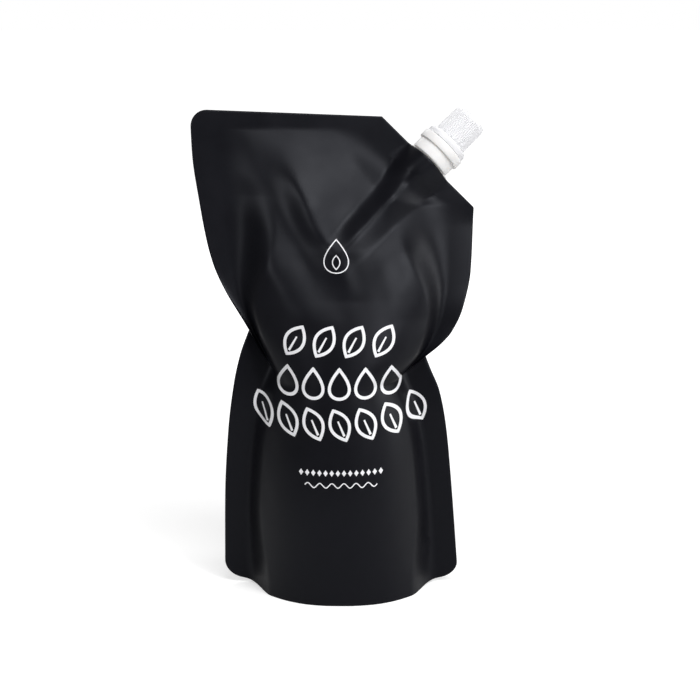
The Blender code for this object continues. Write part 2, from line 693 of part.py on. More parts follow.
def main():
    clear_scene()
    film = material("matt_black_film", (0.012, 0.012, 0.014), 0.5)
    natural = material("natural_polyethylene", (0.62, 0.62, 0.64), 0.4)
    white = material("white_polyethylene", (0.85, 0.85, 0.86), 0.35)
    foam = material("white_foam", (0.9, 0.9, 0.9), 0.8)
    axis = make_spout_axis()
    make_pouch(film, axis)
    make_spout(natural, axis)
    make_tamper_ring(white, axis)
    make_seal_liner(foam, axis)
    make_cap(white, axis)


main()
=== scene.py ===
# %% [markdown]
# # A hand soap refill pack in matt black film
# This lesson dresses a stand-up refill pouch: a filled bag of laminated film with a moulded corner spout and a
# ribbed screw cap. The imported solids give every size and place. What is made here is the fine surface: the
# welds, folds and creases of the film, the plain white print on it, and the edges and threads of the mouldings.

import math

import bpy
import numpy as np
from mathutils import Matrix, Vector


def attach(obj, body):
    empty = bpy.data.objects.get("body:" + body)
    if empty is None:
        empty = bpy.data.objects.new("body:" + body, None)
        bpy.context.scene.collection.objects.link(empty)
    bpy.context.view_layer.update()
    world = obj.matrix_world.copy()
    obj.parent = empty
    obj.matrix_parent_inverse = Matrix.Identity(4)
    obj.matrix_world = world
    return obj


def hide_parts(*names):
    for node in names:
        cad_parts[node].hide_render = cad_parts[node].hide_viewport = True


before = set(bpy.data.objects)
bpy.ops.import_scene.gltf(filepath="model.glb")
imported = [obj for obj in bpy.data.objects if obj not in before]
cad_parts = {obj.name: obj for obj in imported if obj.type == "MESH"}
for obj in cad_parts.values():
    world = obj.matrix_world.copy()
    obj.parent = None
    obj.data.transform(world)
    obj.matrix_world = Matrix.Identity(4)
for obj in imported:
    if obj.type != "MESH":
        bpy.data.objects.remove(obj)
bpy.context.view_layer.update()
MM = 0.001
print("solids:", sorted(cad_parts))

# %% [markdown]
# ## Camera
# The photograph was taken a little from above with a long lens, about 0.8 m from the pack. A focal length of
# 84 mm on a 36 mm sensor gives the same, nearly flat, perspective.

# %% Place the camera
CAMERA_PLACE = (0.0044, -0.8, 0.291)
CAMERA_PITCH = math.radians(11.9)
CAMERA_LENS = 83.57

camera_data = bpy.data.cameras.new("camera")
camera_data.lens = CAMERA_LENS
camera_data.sensor_width = 36
camera = bpy.data.objects.new("camera", camera_data)
camera.location = CAMERA_PLACE
camera.rotation_euler = (math.pi / 2 - CAMERA_PITCH, 0, 0)
bpy.context.scene.collection.objects.link(camera)
bpy.context.scene.camera = camera
bpy.context.scene.view_settings.view_transform = "Standard"
print("camera", CAMERA_PLACE, "pitched down", round(math.degrees(CAMERA_PITCH), 1), "degrees")

# %% [markdown]
# ## Helpers
# Colours are given as screen values, so one function turns them into the linear values that a shader
# needs. One function adds a shader node with its settings and links, and two more build on it for what every
# finish here has: a noise that is fixed to the piece, and a base colour that wanders a little between two tones.
# The others put bpy.ops on a known footing: nothing selected but the piece at hand.

# %% Helpers for colours, nodes and selection


def linear(colour):
    """An sRGB hex colour as linear red, green, blue and alpha."""
    parts = [int(colour[i : i + 2], 16) / 255 for i in (1, 3, 5)]
    return (*(c / 12.92 if c <= 0.04045 else ((c + 0.055) / 1.055) ** 2.4 for c in parts), 1)


def add_node(tree, kind, inputs=None, **settings):
    """Adds a shader node, sets what is given, and links what is a socket."""
    made = tree.nodes.new(kind)
    for name, value in settings.items():
        setattr(made, name, value)
    for key, value in (inputs or {}).items():
        if isinstance(value, bpy.types.NodeSocket):
            tree.links.new(value, made.inputs[key])
        else:
            made.inputs[key].default_value = value
    return made


def object_noise(tree, size, **inputs):
    """Noise that is fixed to the object, with clouds about this many metres across."""
    where = add_node(tree, "ShaderNodeTexCoord").outputs["Object"]
    return add_node(tree, "ShaderNodeTexNoise", {"Vector": where, "Scale": 1 / size, **inputs}).outputs["Fac"]


def mix_base_colour(tree, shader, share, first, second):
    """Lets a share from 0 to 1 choose the shader's base colour between two colours."""
    mix = add_node(tree, "ShaderNodeMix", {0: share, 6: linear(first), 7: linear(second)}, data_type="RGBA")
    tree.links.new(mix.outputs[2], shader.inputs["Base Color"])


def start_material(name, **values):
    """A new material with its node tree and its Principled shader, whose sockets take the values by name."""
    made = bpy.data.materials.new(name)
    made.use_nodes = True
    shader = made.node_tree.nodes["Principled BSDF"]
    for socket, value in values.items():
        shader.inputs[socket.replace("_", " ")].default_value = value
    return made, made.node_tree, shader


def take_up(piece):
    """Deselects all but this piece and makes it active."""
    bpy.ops.object.select_all(action="DESELECT")
    piece.select_set(True)
    bpy.context.view_layer.objects.active = piece


def apply_modifier(piece, kind, **settings):
    """Adds a modifier, sets it and applies it."""
    take_up(piece)
    change = piece.modifiers.new(kind.lower(), kind)
    for name, value in settings.items():
        setattr(change, name, value)
    bpy.ops.object.modifier_apply(modifier=change.name)


def face_outwards(piece):
    """Turns the faces of a closed mesh outwards."""
    take_up(piece)
    bpy.ops.object.mode_set(mode="EDIT")
    bpy.ops.mesh.select_all(action="SELECT")
    bpy.ops.mesh.normals_make_consistent(inside=False)
    bpy.ops.object.mode_set(mode="OBJECT")


def finish_piece(piece, name, material, body, replaced=()):
    """Names a piece, gives it its material and body, and says which solids it stands for."""
    piece.name = name
    piece.data.name = name
    piece.data.materials.clear()
    piece.data.materials.append(material)
    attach(piece, body)
    if replaced:
        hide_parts(*replaced)
    print(name, "has", len(piece.data.polygons), "faces")


# %% [markdown]
# ## The film's outline
# The pouch is two flat panels of film, welded together round their edge, that the soap pushes apart. Seen from
# the front its edge is a few straight stretches and easy curves: a waist with a notch on each side, a rounded
# corner, and a corner cut off at 45 degrees for the spout. Each row of the film's net runs from one edge to the
# other, so the edge is given as two curves, left and right, that depend on how far up the row is.

# %% Sizes of the film and its outline
FILM = 0.8 * MM
SIDE_SEAL = 9.5 * MM
CORNER_SEAL = 12.0 * MM
CORNER_RADIUS = 8.5 * MM
BASE_HALF_WIDTH = 60.3 * MM
WAIST_LEFT, WAIST_LEFT_HEIGHT = 46.5 * MM, 133.0 * MM
WAIST_RIGHT, WAIST_RIGHT_HEIGHT = 42.8 * MM, 119.0 * MM
WAIST_MIDDLE_HEIGHT = 108.0 * MM
TOP_LEFT, TOP_HEIGHT = 77.0 * MM, 240.3 * MM
TOP_RIGHT, TOP_RIGHT_HEIGHT = 67.1 * MM, 237.0 * MM
WING_LIFT, WING_START = 3.5 * MM, 0.62
CORNER_CUT = 46.5 * MM
LOWER_LEFT_EDGE = ((0, 0), (0.34, 0.05), (0.6, 0.2), (0.79, 0.43), (0.9, 0.66), (1, 1))
LOWER_RIGHT_EDGE = ((0, 0), (0.45, 0.24), (0.69, 0.4), (0.85, 0.6), (0.95, 0.87), (1, 1))
UPPER_LEFT_EDGE = ((0, 0), (0.17, 0.4), (0.28, 0.585), (0.39, 0.7), (0.58, 0.835), (0.79, 0.955), (1, 1))
UPPER_RIGHT_EDGE = ((0, 0), (0.08, 0.31), (0.16, 0.53), (0.32, 0.765), (0.57, 0.935), (1, 1))
LEAN = math.radians(15)
LEAN_START, LEAN_END = 90.0 * MM, 150.0 * MM
CORNER_HEIGHT = TOP_RIGHT_HEIGHT - CORNER_CUT * math.cos(LEAN)


def smooth(value):
    """0 below 0, 1 above 1, and an even curve between."""
    value = np.clip(value, 0, 1)
    return value * value * (3 - 2 * value)


def between(start, end, share):
    """The value that lies this share of the way from start to end."""
    return start + (end - start) * share


def along(points, at):
    """A smooth curve through (where, value) points, without overshoot."""
    where = np.array([p[0] for p in points], float)
    value = np.array([p[1] for p in points], float)
    at = np.clip(at, where[0], where[-1])
    slope = np.diff(value) / np.diff(where)
    same_way = slope[:-1] * slope[1:] > 0
    mean = 2 * slope[:-1] * slope[1:] / np.where(same_way, slope[:-1] + slope[1:], 1)
    tangent = np.concatenate([slope[:1], np.where(same_way, mean, 0), slope[-1:]])
    i = np.clip(np.searchsorted(where, at, side="right") - 1, 0, len(slope) - 1)
    width = where[i + 1] - where[i]
    t = (at - where[i]) / width
    start = value[i] * (1 + 2 * t) * (1 - t) ** 2 + tangent[i] * width * t * (1 - t) ** 2
    end = value[i + 1] * t * t * (3 - 2 * t) + tangent[i + 1] * width * t * t * (t - 1)
    return start + end


def rounding(height_to_end):
    """How far a rounded corner's edge is drawn in, this far from the corner's end."""
    left = np.clip(CORNER_RADIUS - height_to_end, 0, CORNER_RADIUS)
    return CORNER_RADIUS - np.sqrt(CORNER_RADIUS**2 - left**2)


def row_ends(share, above):
    """The left and right ends of rows, share of the way up below or above the waist: x, z, x, z."""
    low_left = -between(BASE_HALF_WIDTH, WAIST_LEFT, along(LOWER_LEFT_EDGE, share))
    low_right = between(BASE_HALF_WIDTH, WAIST_RIGHT, along(LOWER_RIGHT_EDGE, share))
    high_left_z = between(WAIST_LEFT_HEIGHT, TOP_HEIGHT, share)
    high_left = rounding(TOP_HEIGHT - high_left_z) - between(
        WAIST_LEFT, TOP_LEFT, along(UPPER_LEFT_EDGE, share)
    )
    high_right_z = between(WAIST_RIGHT_HEIGHT, TOP_RIGHT_HEIGHT, share)
    up = (high_right_z - WAIST_RIGHT_HEIGHT) / (CORNER_HEIGHT - WAIST_RIGHT_HEIGHT)
    cut = np.clip(high_right_z - CORNER_HEIGHT, 0, None) / math.cos(LEAN)
    high_right = between(WAIST_RIGHT, TOP_RIGHT, along(UPPER_RIGHT_EDGE, np.clip(up, 0, 1))) - cut
    left_x = np.where(above, high_left, low_left)
    left_z = np.where(above, high_left_z, share * WAIST_LEFT_HEIGHT)
    right_x = np.where(above, high_right, low_right)
    right_z = np.where(above, high_right_z, share * WAIST_RIGHT_HEIGHT)
    return left_x, left_z, right_x, right_z


print("film is", round((TOP_LEFT + TOP_RIGHT) / MM, 1), "mm wide at the top")

# %% [markdown]
# ## The filled shape
# Soap sinks to the bottom, so the pack is deepest low down and thins out to a flat weld at the top. The panels
# leave their side welds steeply, as film under pressure does, and the part above the waist leans back. Where the
# base opens, the gusset holds the corners flat, so there the belly starts further in.

# %% Depth of the filled pack
BASE_DEPTH = 36.0 * MM
BELLY_DEPTH, BELLY_HEIGHT = 39.0 * MM, 48.0 * MM
WAIST_FRONT, WAIST_BACK = 31.0 * MM, 29.0 * MM
# How wide the turn out of the side weld is, as a share of the half width: at the base, above it and near the top
BASE_FLARE, BODY_FLARE, TOP_FLARE = 0.3, 0.2, 0.5
FLARE_RISE = 45.0 * MM
TOP_FLARE_START, TOP_FLARE_END = 140.0 * MM, 185.0 * MM
VISIBLE_TOP_SEAL = 6.0 * MM  # the swell of the film hides the lower edge of the top weld
UPPER_FULLNESS = 0.56  # depth halfway up above the waist, as a share of the waist's
SECTION_POWER = 2.5  # above 2, the section is flatter in the middle than an ellipse


def lean(height):
    """How far back the middle of the pack is at a height."""
    bend = np.clip(height - LEAN_START, 0, LEAN_END - LEAN_START)
    straight = np.clip(height - LEAN_END, 0, None)
    return math.tan(LEAN) * (bend**2 / (2 * (LEAN_END - LEAN_START)) + straight)


def fullness(height, waist):
    """How deep one side of the pack is at a height, on the middle line."""
    top = TOP_RIGHT_HEIGHT - VISIBLE_TOP_SEAL
    stations = (
        (0, BASE_DEPTH),
        (BELLY_HEIGHT, BELLY_DEPTH),
        (WAIST_MIDDLE_HEIGHT, waist),
        (between(WAIST_MIDDLE_HEIGHT, top, 0.5), waist * UPPER_FULLNESS),
        (top, 0),
    )
    return along(stations, height)


def across(column, height):
    """The share of that depth across the pack, from weld to weld."""
    off = np.clip(np.abs(column), 0, 1)
    flare = between(BASE_FLARE, BODY_FLARE, smooth(height / FLARE_RISE))
    top_share = smooth((height - TOP_FLARE_START) / (TOP_FLARE_END - TOP_FLARE_START))
    flare = between(flare, TOP_FLARE, top_share)
    return (1 - off**SECTION_POWER) * smooth((1 - off) / flare)


# %% [markdown]
# ## Folds
# A stiff laminated film doesn't stretch, so wherever it is bent two ways it folds along lines, and it stays nearly
# flat between them. Each fold is a line down the front of the film, with a height: a ridge above zero, a valley
# below. At every height on the pack, the film runs straight from one fold to the next, and its turn there is
# rounded. A flat three-cornered facet hangs from the top weld, with its point in the middle of the pack.

# %% Folds of the front film
FOLDS = (
    # radius of the turn, then points (x, z, height) down the fold, all in millimetres
    (9, ((-62.5, 230, 0), (-58, 191, -1), (-53, 171, -1.5), (-45, 152, -1), (-38, 135, 0))),
    (7, ((-61, 216, 2.5), (-51.5, 194, 5.5), (-39, 168, 5.5), (-24, 147, 3), (-11, 134, 0))),
    (7, ((-47, 230, -1), (-40, 213, -2.5), (-30, 194, -3.5), (-22, 178, -3), (-13, 161, -1.5), (-3, 140, 0))),
    (4, ((-34, 230, 6), (-29, 220, 7.5), (-18, 196, 8), (-13, 185, 6.5), (-3, 171, 4), (6, 150, 0))),
    (6, ((40, 226, 0), (31.6, 218, -1), (15.5, 203, -2), (5, 191, -1.5), (-1, 175, 0.5), (14, 150, 0))),
    (9, ((62, 216, 0), (54, 196, 0), (40, 182, 0), (26, 168, 1.5), (26, 140, 0))),
    (9, ((64, 216, 0), (60, 196, 1.5), (56, 176, 2.5), (48, 158, 3), (40, 140, 0))),
)
FOLDS_END = 84.0 * MM  # the folds have run out this far from the middle
FOLD_SPACE = 3.0 * MM  # two folds come no nearer to each other
FOLD_DEPTH = 14.0 * MM  # the folds fade out where the pack is thinner than this


def folds(x, z):
    """How far the front film stands proud of its even bulge, or is drawn in, at places on it."""
    places = [np.full(np.shape(x), -FOLDS_END)]
    heights = [np.zeros(np.shape(x))]
    for _, points in FOLDS:
        down = [(-fold_z * MM, fold_x * MM) for fold_x, fold_z, _ in points]
        lift = [(-fold_z * MM, rise * MM) for _, fold_z, rise in points]
        places.append(np.maximum(along(down, -z), places[-1] + FOLD_SPACE))
        heights.append(along(lift, -z))
    places.append(np.full(np.shape(x), FOLDS_END))
    heights.append(np.zeros(np.shape(x)))
    slopes = [(heights[i + 1] - heights[i]) / (places[i + 1] - places[i]) for i in range(len(places) - 1)]
    total = slopes[0] * (x + FOLDS_END)
    for i, (radius, _) in enumerate(FOLDS):
        off = x - places[i + 1]
        total = total + (slopes[i + 1] - slopes[i]) * (off + np.sqrt(off**2 + (radius * MM) ** 2)) / 2
    return total


# %% [markdown]
# ## Dents of handling
# A filled bag is squeezed and stacked before it is bought, and that leaves shallow dents a few centimetres across.
# They are too low to see in the outline, but they turn the sheen into soft patches. A few crossed waves of unequal
# length give them, without a repeat that the eye finds.

# %% Dents in the upper film
DENT_DEPTH = 0.1 * MM
DENT_WAVES = ((19, 31, 0.4), (27, -17, 2.1), (-14, 23, 4.0), (11, 37, 5.2))  # length in x and z (mm), start
DENT_LEAST = 0.35  # the share of the depth that is left outside the dented part
DENTED_HEIGHT, DENTED_HEIGHT_BLEND = 120.0 * MM, 60.0 * MM
DENTED_SIDE, DENTED_SIDE_BLEND = -40.0 * MM, 70.0 * MM


def dents(x, z):
    """How far the film is dented in or out by handling: most on the upper right, little below the waist."""
    waves = [np.sin(math.tau * (x / (a * MM) + z / (b * MM)) + start) for a, b, start in DENT_WAVES]
    high = smooth((z - DENTED_HEIGHT) / DENTED_HEIGHT_BLEND)
    right = smooth((x - DENTED_SIDE) / DENTED_SIDE_BLEND)
    return DENT_DEPTH * between(DENT_LEAST, 1, high * right) * sum(waves) / 2


# %% [markdown]
# ## The spout's ridge
# Under the film of the cut corner sits the round base of the spout. Both panels are welded over it, so they stand
# proud there. In front a long straight ridge runs on from it into the pack, like the ridge of a tent, down to the
# point of the facet.

# %% The film over the spout's base
CLEARANCE = 0.3 * MM
WELD_BASE_HALF_LENGTH = 12.5 * MM
WELD_BASE_HALF_THICKNESS = 9.3 * MM
WELD_BASE_DEPTH = 12.0 * MM
RIDGE_WIDTH_ABOVE = 10.5 * MM  # from the crest to each foot of the ridge
RIDGE_WIDTH_BELOW = 11.0 * MM
# Places inwards from the cut edge in millimetres, and the height there as a share of the height over the base
RIDGE_HEIGHTS = ((9, 1), (16, 0.88), (24, 0.68), (34, 0.52), (50, 0.4), (58, 0.3), (68, 0))
BACK_RIDGE_HEIGHTS = ((12, 1), (26, 0.5), (45, 0))
CREST_RADIUS = 0.12  # of the tent's ridge, as a share of its half width
FOOT_RADIUS = 0.3  # of the hollow turn at its feet
BASE_SECTION_POWER = 1.35  # above 1, the film over the base runs out softly at its feet
spout_x = TOP_RIGHT - CORNER_CUT / 2
spout_z = CORNER_HEIGHT + CORNER_CUT * math.cos(LEAN) / 2
SPOUT_PLACE = Vector((spout_x, float(lean(spout_z)), spout_z))


def spout_ridge(x, z, heights, tent):
    """How far a panel stands proud over the spout's base and along its ridge."""
    up = (SPOUT_PLACE.z - z) / math.cos(LEAN)
    side = (x - SPOUT_PLACE.x + up) / math.sqrt(2)
    inward = (SPOUT_PLACE.x - x + up) / math.sqrt(2)
    run = smooth((inward - WELD_BASE_DEPTH / 2) / (2 * WELD_BASE_DEPTH)) * tent
    foot = np.where(side < 0, RIDGE_WIDTH_ABOVE, RIDGE_WIDTH_BELOW)
    half = between(WELD_BASE_HALF_LENGTH + 2 * FILM, foot, run)
    off = np.clip(side / half, -1, 1)
    round_section = (1 - off**2) ** BASE_SECTION_POWER
    fall = np.sqrt(off**2 + CREST_RADIUS**2) - CREST_RADIUS
    roof = 1 - fall / (math.sqrt(1 + CREST_RADIUS**2) - CREST_RADIUS)
    tent_section = roof**2 * (1 + FOOT_RADIUS) / (roof + FOOT_RADIUS)
    share = along([(place * MM, value) for place, value in heights], inward)
    start = WELD_BASE_HALF_THICKNESS + CLEARANCE + FILM
    return start * share * between(round_section, tent_section, run)


print("spout leaves the film at", [round(v / MM, 1) for v in SPOUT_PLACE], "mm")

# %% [markdown]
# ## The film's net
# The whole skin of the pouch is one grid, bent round like a sleeve. Its columns run across the pack. Going along
# a column, the grid climbs the front panel, comes down the back panel and crosses the gusset underneath, back to
# where it started. A grid primitive gives the net its faces, and its points are then set in code, as one would
# push them with a sculpting brush.

# %% Rows and columns of the net
LOWER_ROWS = 150
UPPER_ROWS = 125
GUSSET_ROWS = 36
CORNER_ROWS = 12  # crowded together, so that the rounded corners come out round
LIP_ROWS = (0, 0.002, 0.006, 0.012)  # crowded at the lip that hangs over the crease
FIRST_EVEN_ROW = 0.018
FILLED_COLUMNS = 116
SEAL_COLUMNS = 8
COLUMN_CROWDING = 0.7  # 0 spaces the columns evenly, 1 crowds them at the welds
LEVEL_START, LEVEL_BLEND = 1 / 6, 1 / 3  # where, as a share of the way up, rows stop following the crease
CREASE_STEP_LEFT, CREASE_STEP_RIGHT = 9.0 * MM, 7.0 * MM
CREASE_FORWARD = 0.55  # the share of the step by which the upper film comes forward; the lower film goes back
CREASE_INNER_END = 0.6  # where the crease fades out, as a share of the way from the middle to the edge
CREASE_LEFT_BEND, CREASE_RIGHT_BEND = 1.55, 1.3
CREASE_FADE = 16.0 * MM
CREASE_GAP = 0.8 * MM
LIP_ROUNDING, LIP_LEAST = 2.0 * MM, 0.75  # the lip's rounded edge, and the share of the step left at its end
CURL_START, CURL_REACH, CURL = 44.0 * MM, 28.0 * MM, 3.4 * MM  # above the waist the right edge curls back
CURL_LOW, CURL_LOW_BLEND = 135.0 * MM, 20.0 * MM
CURL_HIGH, CURL_HIGH_BLEND = 198.0 * MM, 16.0 * MM
EDGE_ROUND = 0.5 * MM

lower_turn = CORNER_RADIUS / WAIST_LEFT_HEIGHT
lower_corner = lower_turn * (1 - np.cos(np.linspace(0, math.pi / 2, CORNER_ROWS)))
lower_shares = np.concatenate([lower_corner[:-1], np.linspace(lower_turn, 1, LOWER_ROWS)])
upper_turn = 1 - CORNER_RADIUS / (TOP_HEIGHT - WAIST_LEFT_HEIGHT)
upper_corner = between(upper_turn, 1, np.sin(np.linspace(0, math.pi / 2, CORNER_ROWS)))
upper_even = np.linspace(FIRST_EVEN_ROW, upper_turn, UPPER_ROWS)
upper_shares = np.concatenate([LIP_ROWS, upper_even, upper_corner[1:]])
row_share = np.concatenate([lower_shares, upper_shares])
row_above = np.concatenate([np.zeros(len(lower_shares), bool), np.ones(len(upper_shares), bool)])

even = np.linspace(-1, 1, FILLED_COLUMNS + 1)
filled_columns = between(even, np.sin(even * math.pi / 2), COLUMN_CROWDING)
weld_columns = 1 + np.sin(np.linspace(0, math.pi / 2, SEAL_COLUMNS + 1))[1:]
column_places = np.concatenate([-weld_columns[::-1], filled_columns, weld_columns])
print(len(row_share), "rows and", len(column_places), "columns on each panel")


# %% Places on the two panels


def crease_share(column):
    """0 inside the crease's inner ends, 1 at the edges of the film."""
    return np.clip((np.abs(column) - CREASE_INNER_END) / (1 - CREASE_INNER_END), 0, 1)


def crease_height(column):
    """The height of the crease along the pack, notch to notch."""
    share = crease_share(column)
    left = (WAIST_LEFT_HEIGHT - WAIST_MIDDLE_HEIGHT) * share**CREASE_LEFT_BEND
    right = (WAIST_RIGHT_HEIGHT - WAIST_MIDDLE_HEIGHT) * share**CREASE_RIGHT_BEND
    return WAIST_MIDDLE_HEIGHT + np.where(column < 0, left, right)


share = row_share[:, None]
above = row_above[:, None]
filled = np.clip(column_places, -1, 1)[None, :]
weld = column_places[None, :] - filled
left_x, left_z, right_x, right_z = row_ends(share, above)
turn = np.where(above, 0, rounding(left_z))
corner_blend = smooth((right_z - CORNER_HEIGHT) / CORNER_SEAL) * above
right_seal = between(SIDE_SEAL, CORNER_SEAL * math.sqrt(2), corner_blend)
net_x = between(left_x + SIDE_SEAL, right_x - right_seal, (filled + 1) / 2)
net_x = net_x + np.where(weld < 0, weld * (SIDE_SEAL - turn), weld * (right_seal - turn))
column = np.clip(net_x / np.where(net_x < 0, -left_x, right_x), -1, 1)
crease = crease_height(column)
step = np.where(column < 0, CREASE_STEP_LEFT, CREASE_STEP_RIGHT) * crease_share(column)
run_across = (net_x - left_x) / (right_x - left_x)
row_top = between(left_z, right_z, run_across)
full_top = between(TOP_HEIGHT, TOP_RIGHT_HEIGHT, run_across)
above_z = between(crease, full_top, share) + CREASE_GAP * (1 - share)
above_z = between(above_z, row_top, smooth((share - LEVEL_START) / LEVEL_BLEND))
lower_end = WING_LIFT * smooth((np.abs(column) - WING_START) / (1 - WING_START))
net_z = np.where(above, above_z, between(lower_end, crease - CREASE_GAP, share))
lip = np.sqrt(1 - (1 - np.clip((net_z - crease) / LIP_ROUNDING, 0, 1)) ** 2)
fade = np.exp(-np.abs(net_z - crease) / CREASE_FADE)
forward = -CREASE_FORWARD * fade * between(LIP_LEAST, 1, lip)
backward = (1 - CREASE_FORWARD) * fade
net_shift = step * np.where(above, forward, backward)
curled = smooth((net_z - CURL_LOW) / CURL_LOW_BLEND) * smooth((CURL_HIGH - net_z) / CURL_HIGH_BLEND)
net_shift = net_shift + CURL * curled * (np.clip(net_x - CURL_START, 0, None) / CURL_REACH) ** 2

seal_width = np.where(weld < 0, SIDE_SEAL, right_seal)
to_side = (1 - np.abs(weld)) * seal_width
to_top = np.where(above, full_top - net_z, 1)
to_edge = np.minimum(to_side, to_top)
edge_share = 1 - np.clip(to_edge / EDGE_ROUND, 0, 1)
half_film = FILM / 2 * np.sqrt(np.clip(1 - edge_share**2, 0, 1))
print("front panel spans", [round(float(v) / MM, 1) for v in (net_x.min(), net_x.max(), net_z.max())], "mm")

# %% The panels' depth
middle = lean(net_z) + net_shift
front_ridge = spout_ridge(net_x, net_z, RIDGE_HEIGHTS, 1)
back_ridge = spout_ridge(net_x, net_z, BACK_RIDGE_HEIGHTS, 0)
front_depth = fullness(net_z, WAIST_FRONT) * across(filled, net_z)
back_depth = fullness(net_z, WAIST_BACK) * across(filled, net_z)
front_depth = front_depth + (folds(net_x, net_z) + dents(net_x, net_z)) * smooth(front_depth / FOLD_DEPTH)
front_y = middle - half_film - front_depth - front_ridge * math.cos(LEAN)
back_y = middle + half_film + back_depth + back_ridge * math.cos(LEAN)
front_points = np.stack([net_x, front_y, net_z + front_ridge * math.sin(LEAN)], axis=-1)
back_points = np.stack([net_x, back_y, net_z - back_ridge * math.sin(LEAN)], axis=-1)
print("the pack is", round(float(back_y.max() - front_y.min()) / MM, 1), "mm deep")

# %% [markdown]
# ## The gusset
# Under the pack a third panel is folded in and welded to the other two along a curve. When the pack is filled it
# opens: its middle rests on the floor, its sides rise, and the panels hang past it as a thin skirt all round.

# %% Places on the gusset
SKIRT_WALL = 1.0 * MM
SKIRT_HEIGHT = 6.0 * MM
GUSSET_RISE = 24.0 * MM
GUSSET_SAG = 1.5 * MM
GUSSET_REACH = 0.9
GUSSET_FLAT = 0.35
GUSSET_SPREAD, GUSSET_POWER = 0.5, 2.5  # how far out its fold rises, and how flat it lies from front to back
WALL_SHARE = 0.12  # the share of the gusset's rows that climb each skirt


def gusset_height(place, line):
    """The height of the gusset film: place runs across the pack from -1 to 1, line from front to back."""
    out = np.abs(place)
    wall_top = between(SKIRT_HEIGHT, GUSSET_RISE, smooth((out - GUSSET_FLAT) / (1 - GUSSET_FLAT)))
    fold_rise = (wall_top - SKIRT_HEIGHT) + SKIRT_HEIGHT * smooth((out - GUSSET_FLAT) / GUSSET_SPREAD)
    return between(fold_rise - GUSSET_SAG, wall_top, np.abs(line) ** GUSSET_POWER)


gusset_row = np.linspace(0, 1, GUSSET_ROWS + 2)[1:-1, None]
line = np.clip((gusset_row - WALL_SHARE) / (1 - 2 * WALL_SHARE), 0, 1) * 2 - 1
climb = np.clip(np.minimum(gusset_row, 1 - gusset_row) / WALL_SHARE, 0, 1)
place = np.clip(filled / GUSSET_REACH, -1, 1)
open_share = smooth((1 - np.abs(filled)) / (1 - GUSSET_REACH))
front_edge, back_edge = front_points[0][None], back_points[0][None]
height = between(front_edge[..., 2], gusset_height(place, line), climb * open_share)
height = np.maximum(height, 0)
depth_across = back_edge[..., 1] - front_edge[..., 1]
wall = np.minimum(SKIRT_WALL, depth_across / 2)
inner_front = front_edge[..., 1] + wall
inner_back = back_edge[..., 1] - wall
gusset_y = between(inner_back, inner_front, (line + 1) / 2)
gusset_x = front_edge[..., 0] + 0 * line
gusset_points = np.stack([gusset_x, gusset_y, height], axis=-1)
sleeve = np.concatenate([front_points, back_points[::-1], gusset_points])
print("the gusset rises", round(float(height.max()) / MM, 1), "mm at its sides")

# %% Build the skin from a grid
sleeve_rows, sleeve_columns = sleeve.shape[:2]
bpy.ops.object.select_all(action="DESELECT")
bpy.ops.mesh.primitive_grid_add(x_subdivisions=sleeve_columns - 1, y_subdivisions=sleeve_rows, size=2)
film = bpy.context.object
flat = np.empty(len(film.data.vertices) * 3)
film.data.vertices.foreach_get("co", flat)
flat = flat.reshape(-1, 3)
grid_column = np.rint((flat[:, 0] + 1) / 2 * (sleeve_columns - 1)).astype(int)
grid_row = np.rint((flat[:, 1] + 1) / 2 * sleeve_rows).astype(int)
placed = np.concatenate([sleeve, sleeve[:1]])[grid_row, grid_column]
film.data.vertices.foreach_set("co", placed.ravel())
take_up(film)
bpy.ops.object.mode_set(mode="EDIT")
bpy.ops.mesh.select_all(action="SELECT")
bpy.ops.mesh.remove_doubles(threshold=1e-6)
bpy.ops.mesh.dissolve_degenerate(threshold=1e-7)
bpy.ops.mesh.normals_make_consistent(inside=False)
bpy.ops.object.mode_set(mode="OBJECT")
bpy.ops.object.shade_smooth_by_angle(angle=math.radians(50))
print("the film's net has", len(film.data.polygons), "faces")

# %% [markdown]
# ## Matt black film
# The film is a laminate: a printed polyester skin with a matt lacquer over polyethylene. Matt lacquer is rough on
# the scale of a hair, so light spreads into broad soft sheens instead of sharp reflections, and the black under it
# stays deep. A fine grain and slight clouds in the sheen keep it from looking like rubber.

# %% Make the film's material
film_material, tree, shader = start_material(
    "matt_lacquered_black_film", Specular_IOR_Level=0.18, Specular_Tint=(0.88, 0.91, 1.0, 1)
)
CLOUD_SIZE = 0.024  # metres between the faint clouds in the sheen
GRAIN_SIZE = 0.0006  # the lacquer's grain is finer, and is drawn this coarse so that it shows
GRAIN_DEPTH = 0.03 * MM
GLOSSY, DULL = 0.36, 0.47  # roughness of the film, which the clouds move between
cloud = object_noise(tree, CLOUD_SIZE, Detail=3.0, Roughness=0.55)
grain = object_noise(tree, GRAIN_SIZE, Detail=2.0)
mix_base_colour(tree, shader, cloud, "#07070b", "#0c0c12")
sheen = add_node(
    tree,
    "ShaderNodeMapRange",
    {"Value": cloud, "From Min": 0.3, "From Max": 0.7, "To Min": GLOSSY, "To Max": DULL},
)
bump = add_node(tree, "ShaderNodeBump", {"Height": grain, "Strength": 0.25, "Distance": GRAIN_DEPTH})
tree.links.new(sheen.outputs["Result"], shader.inputs["Roughness"])
tree.links.new(bump.outputs["Normal"], shader.inputs["Normal"])
finish_piece(film, "pouch_film", film_material, "pack", ["pouch"])

# %% [markdown]
# ## The white print
# The film is printed before it is made into a bag, so the print bends with every fold. White ink on black is a
# dense flat layer, a few hundredths of a millimetre thick. Each mark is drawn flat in front of the pack, as a
# disc whose rim is pushed into shape and inset for the width of the line. A Shrinkwrap then lays it on the film
# along Y, and Solidify gives the ink its thickness. Plain leaves and drops make up the rows.

